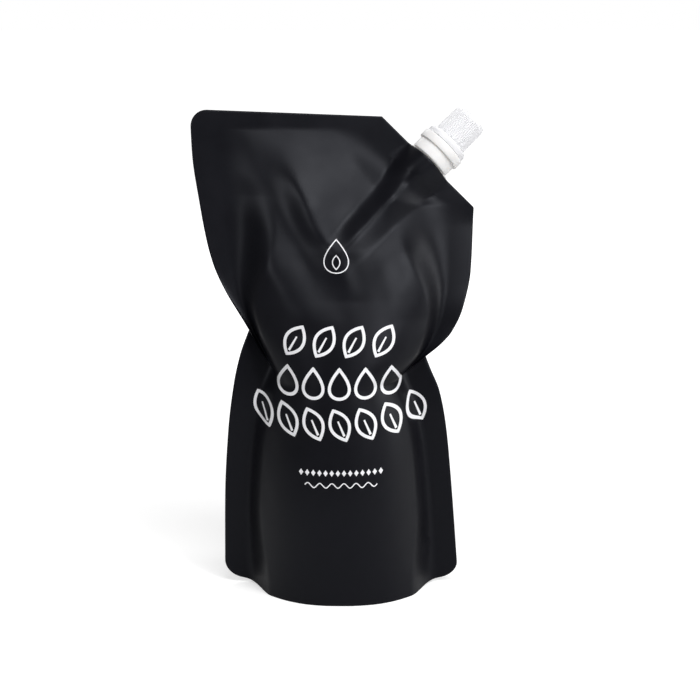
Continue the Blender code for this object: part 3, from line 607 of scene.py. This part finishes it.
# %% Helpers for flat marks
STROKE = 1.5 * MM
FINE_STROKE = 0.55 * MM
PRINT_PLANE = -0.1  # the marks are drawn this far in front of the pack, then laid on it
RIM_POINTS = 72


def leaf_rim(width, height):
    """Points round a leaf: pointed at both ends."""
    turn = np.linspace(0, math.tau, RIM_POINTS, endpoint=False)
    return [(width / 2 * math.sin(a) * abs(math.sin(a)) ** 0.9, -height / 2 * math.cos(a)) for a in turn]


def drop_rim(width, height):
    """Points round a drop: pointed on top and round below."""
    turn = np.linspace(0, math.tau, RIM_POINTS, endpoint=False)
    return [(width * 0.65 * math.sin(a) * math.sin(a / 2), height / 2 * math.cos(a)) for a in turn]


def draw_mark(rim, stroke=None):
    """A flat mark from the points of its rim: filled, or only a line of this width inside the rim."""
    bpy.ops.object.select_all(action="DESELECT")
    bpy.ops.mesh.primitive_circle_add(vertices=len(rim), fill_type="NGON")
    mark = bpy.context.object
    for vertex, (x, z) in zip(mark.data.vertices, rim):
        vertex.co = (x, PRINT_PLANE, z)
    bpy.ops.object.mode_set(mode="EDIT")
    bpy.ops.mesh.select_all(action="SELECT")
    if stroke:
        bpy.ops.mesh.inset(thickness=stroke)
        bpy.ops.mesh.delete(type="FACE")
    else:
        bpy.ops.mesh.poke()
    bpy.ops.mesh.select_all(action="SELECT")
    bpy.ops.mesh.subdivide(number_cuts=1)
    bpy.ops.object.mode_set(mode="OBJECT")
    return mark


def stamp(mark, x, z, turn=0.0):
    """A copy of a flat mark with a mesh of its own, turned in its plane and moved to a place."""
    copy = mark.copy()
    copy.data = mark.data.copy()
    bpy.context.scene.collection.objects.link(copy)
    take_up(copy)
    copy.rotation_euler = (0, math.radians(turn), 0)
    copy.location = (x * MM, 0, z * MM)
    bpy.ops.object.transform_apply(location=True, rotation=True, scale=True)
    return copy


# %% Draw the marks
LEAF_WIDTH, LEAF_HEIGHT = 10.6 * MM, 17.2 * MM
RIB_LOW, RIB_LOW_HALF_WIDTH = -5.6 * MM, 0.6 * MM
RIB_HIGH, RIB_HIGH_HALF_WIDTH = 2.2 * MM, 0.4 * MM
DROP_WIDTH, DROP_HEIGHT = 11.2 * MM, 15.6 * MM
BIG_DROP_WIDTH, BIG_DROP_HEIGHT = 12.6 * MM, 16.4 * MM
SMALL_LEAF_WIDTH, SMALL_LEAF_HEIGHT = 4.2 * MM, 7.4 * MM
LOZENGE_HALF_WIDTH, LOZENGE_HALF_HEIGHT = 1.1 * MM, 1.6 * MM

leaf = draw_mark(leaf_rim(LEAF_WIDTH, LEAF_HEIGHT), STROKE)
leaf_rib = draw_mark(
    [
        (-RIB_LOW_HALF_WIDTH, RIB_LOW),
        (RIB_LOW_HALF_WIDTH, RIB_LOW),
        (RIB_HIGH_HALF_WIDTH, RIB_HIGH),
        (-RIB_HIGH_HALF_WIDTH, RIB_HIGH),
    ]
)
drop = draw_mark(drop_rim(DROP_WIDTH, DROP_HEIGHT), STROKE)
emblem_drop = draw_mark(drop_rim(BIG_DROP_WIDTH, BIG_DROP_HEIGHT), FINE_STROKE)
emblem_leaf = draw_mark(leaf_rim(SMALL_LEAF_WIDTH, SMALL_LEAF_HEIGHT), FINE_STROKE)
lozenge = draw_mark(
    [(0, -LOZENGE_HALF_HEIGHT), (LOZENGE_HALF_WIDTH, 0), (0, LOZENGE_HALF_HEIGHT), (-LOZENGE_HALF_WIDTH, 0)]
)

# %% Stamp the rows
# A row is how many marks it has, where the first one is, the way to the next and the height, in millimetres
TOP_ROW = (4, -22.8, 14.6, 131.2)
MIDDLE_ROW = (5, -26.4, 12.8, 111.6)
LOW_ROW = (7, -39, 12.8, 92)
LOZENGE_ROW = (14, -19.5, 3, 68.9)
TOP_ROW_TURN, LOW_ROW_TURN = 30, -24  # degrees that the leaves lean
ARC_RISE, ARC_REACH = 3, 44  # the low row rises this much, this far from the middle
EMBLEM_X, EMBLEM_HEIGHT, EMBLEM_LEAF_HEIGHT = -2.4, 171, 168.2


def row_places(count, first, apart, height):
    """The places of the marks in a row."""
    return [(first + apart * i, height) for i in range(count)]


marks = [stamp(emblem_drop, EMBLEM_X, EMBLEM_HEIGHT), stamp(emblem_leaf, EMBLEM_X, EMBLEM_LEAF_HEIGHT)]
for x, z in row_places(*TOP_ROW):
    marks += [stamp(piece, x, z, TOP_ROW_TURN) for piece in (leaf, leaf_rib)]
for x, z in row_places(*MIDDLE_ROW):
    marks.append(stamp(drop, x, z))
for x, z in row_places(*LOW_ROW):
    z += ARC_RISE * (x / ARC_REACH) ** 2
    marks += [stamp(piece, x, z, LOW_ROW_TURN) for piece in (leaf, leaf_rib)]
for x, z in row_places(*LOZENGE_ROW):
    marks.append(stamp(lozenge, x, z))
for mark in (leaf, leaf_rib, drop, emblem_drop, emblem_leaf, lozenge):
    bpy.data.objects.remove(mark)
print(len(marks), "marks")

# %% Draw the wave
WAVE_LENGTH = 5.9 * MM
WAVE_HEIGHT = 1.1 * MM
WAVE_ROW_LENGTH, WAVE_ROW_HEIGHT = 35.4 * MM, 62.8 * MM
WAVE_STEPS = 144
bpy.ops.object.select_all(action="DESELECT")
bpy.ops.mesh.primitive_grid_add(x_subdivisions=WAVE_STEPS, y_subdivisions=1, size=1)
wave = bpy.context.object
for vertex in wave.data.vertices:
    x = vertex.co.x * WAVE_ROW_LENGTH
    angle = math.tau * x / WAVE_LENGTH
    slope = WAVE_HEIGHT * math.tau / WAVE_LENGTH * math.cos(angle)
    across_wave = vertex.co.y * FINE_STROKE / math.hypot(1, slope)
    z = WAVE_HEIGHT * math.sin(angle) + across_wave
    vertex.co = (x - slope * across_wave, PRINT_PLANE, WAVE_ROW_HEIGHT + z)
marks.append(wave)

# %% Lay the print on the film
INK = 0.04 * MM
bpy.ops.object.select_all(action="DESELECT")
for mark in marks:
    mark.select_set(True)
bpy.context.view_layer.objects.active = marks[0]
bpy.ops.object.join()
ink = bpy.context.object
apply_modifier(
    ink,
    "SHRINKWRAP",
    target=film,
    wrap_method="PROJECT",
    wrap_mode="ABOVE_SURFACE",
    use_project_y=True,
    use_positive_direction=True,
    use_negative_direction=False,
    offset=1.5 * INK,
)
apply_modifier(ink, "SOLIDIFY", thickness=INK, offset=-1.0)
face_outwards(ink)
bpy.ops.object.shade_smooth_by_angle(angle=math.radians(40))
ink_y = [vertex.co.y / MM for vertex in ink.data.vertices]
print("the print lies between y", round(min(ink_y), 1), "and", round(max(ink_y), 1), "mm")

# %% Make the ink
ink_material, tree, shader = start_material("white_printing_ink", Roughness=0.6, Specular_IOR_Level=0.2)
mix_base_colour(tree, shader, object_noise(tree, 0.002, Detail=3.0), "#e3e3e6", "#efeff2")
finish_piece(ink, "film_print", ink_material, "pack")

# %% [markdown]
# ## Turned mouldings
# Spout, ring, cap and sealing disc are injection moulded and share one axis, which leaves the cut corner at 45
# degrees and leans back with the film. They are made upright, as on a lathe, and laid on the real axis at the
# end. A profile is drawn as by hand, from one point that is extruded again and again, and then it is spun. Its
# corners are rounded a little first, because a moulded edge always catches a thin line of light.

# %% Helpers to turn a profile and to lay a piece on the spout's axis
SPIN_STEPS = 128
EDGE = 0.25 * MM
FINE_EDGE = 0.12 * MM


def soften(points, radius):
    """A profile's (radius, height) points with rounded corners; it is closed if it ends where it starts."""
    corners = [Vector((across, 0, up)) for across, up in points]
    closed = (corners[0] - corners[-1]).length < 1e-9
    corners = corners[:-1] if closed else corners
    soft = []
    for i, corner in enumerate(corners):
        if not closed and i in (0, len(corners) - 1):
            soft.append(corner)
            continue
        before = corners[i - 1] - corner
        after = corners[(i + 1) % len(corners)] - corner
        cut = min(radius, before.length * 0.45, after.length * 0.45)
        start, end = corner + before.normalized() * cut, corner + after.normalized() * cut
        for t in (0, 0.35, 0.65, 1):
            soft.append(start * (1 - t) ** 2 + corner * 2 * t * (1 - t) + end * t * t)
    return soft + soft[:1] if closed else soft


def draw_line(points):
    """A chain of edges: one point, extruded to each next place."""
    bpy.ops.object.select_all(action="DESELECT")
    bpy.ops.mesh.primitive_plane_add(size=1)
    piece = bpy.context.object
    bpy.ops.object.mode_set(mode="EDIT")
    bpy.ops.mesh.select_all(action="SELECT")
    bpy.ops.mesh.merge(type="CENTER")
    bpy.ops.transform.translate(value=points[0])
    for here, there in zip(points, points[1:]):
        bpy.ops.mesh.extrude_region_move(TRANSFORM_OT_translate={"value": there - here})
    bpy.ops.mesh.select_all(action="SELECT")
    bpy.ops.mesh.remove_doubles(threshold=1e-6)
    bpy.ops.object.mode_set(mode="OBJECT")
    return piece


def spin(points, steps=SPIN_STEPS, edge=EDGE):
    """A solid turned about Z from a profile."""
    piece = draw_line(soften(points, edge))
    bpy.ops.object.mode_set(mode="EDIT")
    bpy.ops.mesh.select_all(action="SELECT")
    bpy.ops.mesh.spin(steps=steps, angle=math.tau, center=(0, 0, 0), axis=(0, 0, 1))
    bpy.ops.mesh.select_all(action="SELECT")
    bpy.ops.mesh.remove_doubles(threshold=1e-6)
    bpy.ops.object.mode_set(mode="OBJECT")
    face_outwards(piece)
    return piece


def combine(piece, tool, operation):
    """Joins a tool's solid to a piece, or cuts it away, and removes the tool."""
    apply_modifier(piece, "BOOLEAN", object=tool, operation=operation, solver="EXACT")
    bpy.data.objects.remove(tool)


def lay_on_axis(piece):
    """Moves an upright piece's mesh onto the spout's axis and shades it."""
    take_up(piece)
    piece.rotation_mode = "ZYX"
    piece.rotation_euler = (-LEAN, math.radians(45), 0)
    piece.location = SPOUT_PLACE
    bpy.ops.object.transform_apply(location=True, rotation=True, scale=True)
    bpy.ops.object.shade_smooth_by_angle(angle=math.radians(35))


# %% [markdown]
# ## Threads
# The thread is a ridge of trapezium section that climbs one pitch in each turn. A Screw modifier winds the drawn
# section up about Z. Moulded threads start and end in a short slope, so the two ends are then pressed down into
# the wall. The neck and the cap take the same pitch, and the cap's ridge runs in the gaps of the neck's.

# %% Helper to wind a thread
THREAD_PITCH = 3.2 * MM
THREAD_DEPTH = 0.8 * MM
THREAD_FOOT, THREAD_CREST = 1.1 * MM, 0.5 * MM
THREAD_SINK = 0.3 * MM
THREAD_STEPS = 96
RUN_OUT = 1 / 7  # the ends slope over this share of a turn
THREAD_LEAST = 0.05  # a trace of the ridge stays, so that no face folds up


def wind_thread(root, depth, start, turns):
    """A threaded ridge on a wall of this radius; a depth below zero points inwards."""
    sink = math.copysign(THREAD_SINK, -depth)
    section = (
        (root + sink, start - THREAD_FOOT / 2),
        (root, start - THREAD_FOOT / 2),
        (root + depth, start - THREAD_CREST / 2),
        (root + depth, start + THREAD_CREST / 2),
        (root, start + THREAD_FOOT / 2),
        (root + sink, start + THREAD_FOOT / 2),
        (root + sink, start - THREAD_FOOT / 2),
    )
    ridge = draw_line(soften(section, FINE_EDGE))
    apply_modifier(
        ridge,
        "SCREW",
        axis="Z",
        angle=math.tau * turns,
        screw_offset=THREAD_PITCH * turns,
        steps=round(THREAD_STEPS * turns),
        render_steps=round(THREAD_STEPS * turns),
        use_smooth_shade=True,
    )
    bpy.ops.object.mode_set(mode="EDIT")
    bpy.ops.mesh.select_all(action="SELECT")
    bpy.ops.mesh.fill_holes(sides=0)
    bpy.ops.object.mode_set(mode="OBJECT")
    face_outwards(ridge)
    for vertex in ridge.data.vertices:
        radius = math.hypot(vertex.co.x, vertex.co.y)
        climbed = (vertex.co.z - start) / THREAD_PITCH
        run_out = float(smooth(min(climbed, turns - climbed) / RUN_OUT + 0.5))
        if (radius - root) * depth > 0:
            scale = (root + (radius - root) * max(run_out, THREAD_LEAST)) / radius
            vertex.co.x *= scale
            vertex.co.y *= scale
    return ridge


# %% [markdown]
# ## The spout
# The spout is one moulding of natural polyethylene. Its boat-shaped foot is welded between the two films, and the
# foot's rim shows as a thin pale line along the film's edge. Two flanges stand above it, which the filling machine
# grips, then the bead that holds the tamper ring, and the threaded neck with the bore.

# %% Turn the spout and weld its parts together
BORE_RADIUS, CORE_RADIUS = 4.3 * MM, 5.7 * MM
STEM_RADIUS = 7.0 * MM
LOWER_FLANGE_RADIUS, LOWER_FLANGE_START, LOWER_FLANGE_END = 11.3 * MM, 0.6 * MM, 6.5 * MM
GROOVE_RADIUS = 11.0 * MM
UPPER_FLANGE_RADIUS, UPPER_FLANGE_START, UPPER_FLANGE_END = 12.4 * MM, 7.1 * MM, 11.4 * MM
RING_HEIGHT = 3.6 * MM
NECK_RADIUS, BEAD_RADIUS, BEAD_HEIGHT = 6.9 * MM, 7.5 * MM, 1.2 * MM
BEAD_START = UPPER_FLANGE_END + RING_HEIGHT + 2 * CLEARANCE
MOUTH = 28.2 * MM
NECK_THREAD_TURNS = 2.25
NECK_THREAD_START = MOUTH - THREAD_FOOT - NECK_THREAD_TURNS * THREAD_PITCH
SLOPE = 0.5 * MM

spout = spin(
    (
        (BORE_RADIUS, -WELD_BASE_DEPTH + EDGE),
        (CORE_RADIUS, -WELD_BASE_DEPTH + EDGE),
        (CORE_RADIUS, CLEARANCE),
        (STEM_RADIUS, CLEARANCE),
        (STEM_RADIUS, LOWER_FLANGE_START),
        (LOWER_FLANGE_RADIUS - SLOPE, LOWER_FLANGE_START),
        (LOWER_FLANGE_RADIUS, LOWER_FLANGE_START + SLOPE),
        (LOWER_FLANGE_RADIUS, LOWER_FLANGE_END),
        (GROOVE_RADIUS, LOWER_FLANGE_END),
        (GROOVE_RADIUS, UPPER_FLANGE_START),
        (UPPER_FLANGE_RADIUS, UPPER_FLANGE_START),
        (UPPER_FLANGE_RADIUS, UPPER_FLANGE_END),
        (NECK_RADIUS, UPPER_FLANGE_END),
        (NECK_RADIUS, BEAD_START),
        (BEAD_RADIUS, BEAD_START + BEAD_HEIGHT / 3),
        (BEAD_RADIUS, BEAD_START + BEAD_HEIGHT / 2),
        (NECK_RADIUS, BEAD_START + BEAD_HEIGHT),
        (NECK_RADIUS, MOUTH),
        (BORE_RADIUS + SLOPE, MOUTH),
        (BORE_RADIUS, MOUTH - SLOPE),
        (BORE_RADIUS, -WELD_BASE_DEPTH + EDGE),
    )
)
combine(spout, wind_thread(NECK_RADIUS, THREAD_DEPTH, NECK_THREAD_START, NECK_THREAD_TURNS), "UNION")

# %% Add the boat-shaped foot
FOOT_RIM = 0.9 * MM  # how far the foot's rim stands out of the film
FOOT_POINTS = 48
FOOT_BORE_TOP, FOOT_BORE_STEPS = 3.0 * MM, 64
bpy.ops.object.select_all(action="DESELECT")
bpy.ops.mesh.primitive_circle_add(vertices=2 * FOOT_POINTS, fill_type="NGON")
foot = bpy.context.object
for vertex, i in zip(foot.data.vertices, range(2 * FOOT_POINTS)):
    place = 1 - 2 * (i % FOOT_POINTS) / FOOT_POINTS
    side = 1 if i < FOOT_POINTS else -1
    bulge = WELD_BASE_HALF_THICKNESS * (1 - place**2)
    vertex.co = (side * place * WELD_BASE_HALF_LENGTH, side * bulge, FOOT_RIM)
bpy.ops.object.mode_set(mode="EDIT")
bpy.ops.mesh.select_all(action="SELECT")
bpy.ops.mesh.extrude_region_move(TRANSFORM_OT_translate={"value": (0, 0, -FOOT_RIM - WELD_BASE_DEPTH)})
bpy.ops.object.mode_set(mode="OBJECT")
face_outwards(foot)
apply_modifier(foot, "BEVEL", width=EDGE, segments=2, limit_method="ANGLE", angle_limit=math.radians(40))
bore = spin(
    (
        (0, -2 * WELD_BASE_DEPTH),
        (BORE_RADIUS, -2 * WELD_BASE_DEPTH),
        (BORE_RADIUS, FOOT_BORE_TOP),
        (0, FOOT_BORE_TOP),
    ),
    FOOT_BORE_STEPS,
)
combine(foot, bore, "DIFFERENCE")
combine(spout, foot, "UNION")
lay_on_axis(spout)

# %% [markdown]
# ## Natural polyethylene
# Unpigmented polyethylene is milky: light goes a few millimetres into it and comes out again, so its edges glow
# and its shadows are soft and grey. Subsurface scattering gives that. The moulded surface is a soft satin.

# %% Make the spout's material
natural, tree, shader = start_material(
    "natural_moulded_polyethylene",
    Roughness=0.38,
    Subsurface_Weight=0.6,
    Subsurface_Radius=(1.0, 0.95, 0.9),
    Subsurface_Scale=0.003,
)
mix_base_colour(tree, shader, object_noise(tree, 0.006, Detail=2.0), "#e4e3e3", "#eeedec")
finish_piece(spout, "moulded_spout", natural, "pack", ["spout"])

# %% [markdown]
# ## The tamper ring
# The ring sits loose under the bead, with a bevelled shoulder. Thin bridges join it to the cap until the cap is
# first turned. They break off at the cap's edge, so they belong to the ring.

# %% Turn the ring and set its bridges
RING_RADIUS, RING_WALL, RING_BEVEL = 11.6 * MM, 1.1 * MM, 1.1 * MM
BRIDGES = 12
BRIDGE_SIZE = (0.7 * MM, 0.6 * MM, 0.4 * MM)
BRIDGE_RADIUS, BRIDGE_RISE, BRIDGE_EDGE = 8.7 * MM, 0.05 * MM, 0.1 * MM
ring_bottom = UPPER_FLANGE_END + CLEARANCE
ring_top = ring_bottom + RING_HEIGHT
ring_inside = NECK_RADIUS + CLEARANCE
ring = spin(
    (
        (RING_RADIUS - RING_WALL, ring_bottom),
        (RING_RADIUS, ring_bottom),
        (RING_RADIUS, ring_top - RING_BEVEL),
        (RING_RADIUS - RING_BEVEL, ring_top),
        (ring_inside, ring_top),
        (ring_inside, ring_top - RING_WALL),
        (RING_RADIUS - RING_BEVEL - RING_WALL, ring_top - RING_WALL),
        (RING_RADIUS - RING_WALL, ring_top - RING_BEVEL - RING_WALL),
        (RING_RADIUS - RING_WALL, ring_bottom),
    )
)
bpy.ops.mesh.primitive_cube_add(size=1, location=(BRIDGE_RADIUS, 0, ring_top + BRIDGE_RISE))
bridge = bpy.context.object
bridge.scale = BRIDGE_SIZE
take_up(bridge)
bpy.ops.object.transform_apply(location=True, rotation=True, scale=True)
apply_modifier(bridge, "BEVEL", width=BRIDGE_EDGE, segments=2)
bridges = []
for i in range(BRIDGES):
    copy = bridge.copy()
    copy.data = bridge.data.copy()
    copy.rotation_euler = (0, 0, math.tau * i / BRIDGES)
    bpy.context.scene.collection.objects.link(copy)
    bridges.append(copy)
bpy.data.objects.remove(bridge)
for copy in bridges:
    combine(ring, copy, "UNION")
lay_on_axis(ring)

# %% [markdown]
# ## White polyethylene
# Ring and cap are the same plastic with white pigment in it. It is brighter and lets less light in, and the
# ribbed surface has a satin sheen.

# %% Make the white plastic
white, tree, shader = start_material(
    "white_moulded_polyethylene",
    Roughness=0.34,
    Subsurface_Weight=0.35,
    Subsurface_Radius=(1.0, 1.0, 1.0),
    Subsurface_Scale=0.002,
)
mix_base_colour(tree, shader, object_noise(tree, 0.005, Detail=2.0), "#e2e2e5", "#eaeaec")
finish_piece(ring, "moulded_tamper_ring", white, "pack", ["tamper_ring"])

# %% [markdown]
# ## The screw cap
# The cap is a deep cup with 54 fine ribs for the fingers, a rounded end and a shallow dish in its top. Its wall is
# spun with eight steps to each rib, and the ribs are pulled out of it by how far round each point is.

# %% Turn the cap and raise its ribs
CAP_RADIUS, CAP_TAPER, CAP_BORE = 9.4 * MM, 0.2 * MM, 8.0 * MM
CAP_TOP, CAP_ROUNDING, CAP_EDGE = 1.7 * MM, 1.9 * MM, 0.5 * MM
RIB_COUNT, RIB_DEPTH, RIB_STEPS = 54, 0.3 * MM, 8
RIB_STEEPNESS = 0.8  # above 0.5, the ribs have flat crests and flat valleys
WALL_LEVELS, SHOULDER_POINTS = 12, 9
LINER_THICKNESS = 1.1 * MM
CAP_THREAD_TURNS = 1.5
DISH_RADIUS, DISH_DEPTH = 5.6 * MM, 0.3 * MM
cap_bottom = ring_top + CLEARANCE
inner_top = MOUTH + 2 * CLEARANCE + LINER_THICKNESS
cap_top = inner_top + CAP_TOP
wall_low = CAP_RADIUS - RIB_DEPTH
wall_high = wall_low - CAP_TAPER
wall = [
    (float(radius), float(level))
    for radius, level in zip(
        np.linspace(wall_low, wall_high, WALL_LEVELS),
        np.linspace(cap_bottom, cap_top - CAP_ROUNDING, WALL_LEVELS),
    )
]
shoulder = [
    (wall_high - CAP_ROUNDING * (1 - math.cos(a)), cap_top - CAP_ROUNDING * (1 - math.sin(a)))
    for a in np.linspace(0, math.pi / 2, SHOULDER_POINTS)[1:]
]
dish = ((DISH_RADIUS + DISH_DEPTH, cap_top), (DISH_RADIUS, cap_top - DISH_DEPTH), (0, cap_top - DISH_DEPTH))
inside = ((0, inner_top), (CAP_BORE, inner_top), (CAP_BORE, cap_bottom))
cap = spin([(CAP_BORE, cap_bottom), *wall, *shoulder, *dish, *inside], RIB_STEPS * RIB_COUNT, FINE_EDGE)
for vertex in cap.data.vertices:
    radius = math.hypot(vertex.co.x, vertex.co.y)
    if radius > wall_high - 0.4 * CAP_ROUNDING:
        angle = math.atan2(vertex.co.y, vertex.co.x)
        rib = float(smooth(0.5 + RIB_STEEPNESS * math.cos(RIB_COUNT * angle)))
        rib *= float(smooth((vertex.co.z - cap_bottom - 0.5 * CAP_EDGE) / CAP_EDGE))
        rib *= float(smooth((cap_top - 0.45 * CAP_ROUNDING - vertex.co.z) / CAP_ROUNDING))
        scale = (radius + RIB_DEPTH * rib) / radius
        vertex.co.x *= scale
        vertex.co.y *= scale
cap_thread = wind_thread(CAP_BORE, -THREAD_DEPTH, NECK_THREAD_START + THREAD_PITCH / 2, CAP_THREAD_TURNS)
combine(cap, cap_thread, "UNION")
lay_on_axis(cap)
finish_piece(cap, "moulded_cap", white, "screw_cap", ["cap"])

# %% [markdown]
# ## The sealing disc
# Inside the cap lies a disc of white foam. The neck's rim has pressed a shallow ring into it.

# %% Turn the sealing disc
PRESS = 0.12 * MM
liner_bottom = MOUTH + CLEARANCE
liner_top = liner_bottom + LINER_THICKNESS
liner_radius = CAP_BORE - CLEARANCE
liner = spin(
    (
        (0, liner_bottom),
        (BORE_RADIUS, liner_bottom),
        (BORE_RADIUS + PRESS, liner_bottom + PRESS),
        (NECK_RADIUS - PRESS, liner_bottom + PRESS),
        (NECK_RADIUS, liner_bottom),
        (liner_radius, liner_bottom),
        (liner_radius, liner_top),
        (0, liner_top),
    )
)
lay_on_axis(liner)

FOAM_CELL = 0.4 * MM
foam, tree, shader = start_material("white_polyethylene_foam", Roughness=0.85)
where = add_node(tree, "ShaderNodeTexCoord").outputs["Object"]
cells = add_node(tree, "ShaderNodeTexVoronoi", {"Vector": where, "Scale": 1 / FOAM_CELL})
mix_base_colour(tree, shader, cells.outputs["Distance"], "#f4f4f2", "#e6e6e4")
bump = add_node(
    tree, "ShaderNodeBump", {"Height": cells.outputs["Distance"], "Strength": 0.3, "Distance": 0.1 * MM}
)
tree.links.new(bump.outputs["Normal"], shader.inputs["Normal"])
finish_piece(liner, "foam_sealing_disc", foam, "liner_carrier", ["seal_liner"])

# %% [markdown]
# ## Studio
# A pale floor, a softbox high on the right, one overhead, one behind, and strips on the right and left. Black film
# shows only what it mirrors, so the size and place of these lamps draw the folds. The background is white to the
# camera alone, and much dimmer as a light, because a white room would grey the black film all over. The paper is
# lifted to white for the camera too, more with the distance, so that no horizon shows and the shadow stays.

# %% Floor, world and lamps
FLOOR_SIZE = 40.0
AMBIENT = 0.15
LIFT_NEAR, LIFT_FAR = 0.5, 1.0  # how far the paper is lifted, at the pack and from FADE_END outwards
FADE_START, FADE_END = 0.15, 0.9

PAPER_CLOUD = 1 / 3  # metres


def seen_by_camera(tree):
    """1 for what the camera sees, also through clear matter, and 0 for all other light."""
    path = add_node(tree, "ShaderNodeLightPath").outputs
    either = {0: path["Is Camera Ray"], 1: path["Is Transmission Ray"]}
    return add_node(tree, "ShaderNodeMath", either, operation="MAXIMUM").outputs[0]


floor_material, tree, shader = start_material(
    "white_studio_paper", Roughness=0.9, Emission_Color=(1, 1, 1, 1)
)
mix_base_colour(tree, shader, object_noise(tree, PAPER_CLOUD, Detail=2.0), "#d2d2d2", "#d6d6d6")
where = add_node(tree, "ShaderNodeTexCoord").outputs["Object"]
away = add_node(tree, "ShaderNodeVectorMath", {0: where}, operation="LENGTH")
fade = add_node(
    tree,
    "ShaderNodeMapRange",
    {
        "Value": away.outputs["Value"],
        "From Min": FADE_START,
        "From Max": FADE_END,
        "To Min": LIFT_NEAR,
        "To Max": LIFT_FAR,
    },
    interpolation_type="SMOOTHSTEP",
)
lift = add_node(
    tree, "ShaderNodeMath", {0: seen_by_camera(tree), 1: fade.outputs["Result"]}, operation="MULTIPLY"
)
tree.links.new(lift.outputs[0], shader.inputs["Emission Strength"])

bpy.ops.object.select_all(action="DESELECT")
bpy.ops.mesh.primitive_plane_add(size=FLOOR_SIZE, location=(0, 0, 0))
floor = bpy.context.object
floor.name = "studio_floor"
floor.data.materials.append(floor_material)

world = bpy.data.worlds.new("studio")
bpy.context.scene.world = world
world.use_nodes = True
tree = world.node_tree
background = tree.nodes["Background"]
background.inputs["Color"].default_value = (1, 1, 1, 1)
strength = add_node(tree, "ShaderNodeMapRange", {"Value": seen_by_camera(tree), "To Min": AMBIENT})
tree.links.new(strength.outputs["Result"], background.inputs["Strength"])

LAMP_TARGET = Vector((0, 0, 0.13))


def softbox(name, azimuth, elevation, distance, size, power):
    """A rectangular lamp that looks at the pack; azimuth 0 is behind the camera, positive to the right."""
    data = bpy.data.lights.new(name, "AREA")
    data.shape = "RECTANGLE"
    data.size, data.size_y = size
    data.energy = power
    lamp = bpy.data.objects.new(name, data)
    around, up = math.radians(azimuth), math.radians(elevation)
    away = Vector((math.sin(around) * math.cos(up), -math.cos(around) * math.cos(up), math.sin(up)))
    lamp.location = LAMP_TARGET + away * distance
    lamp.rotation_euler = (-away).to_track_quat("-Z", "Y").to_euler()
    bpy.context.scene.collection.objects.link(lamp)


softbox("key_softbox", 42, 34, 1.0, (0.4, 0.5), 5.2)
softbox("top_softbox", 16, 66, 1.3, (0.6, 0.5), 8.0)
softbox("right_strip", 92, 15, 1.4, (0.4, 0.8), 5.5)
softbox("left_strip", -50, 32, 1.4, (0.2, 0.6), 3.6)
softbox("back_softbox", 190, 40, 1.4, (0.6, 0.6), 6.0)
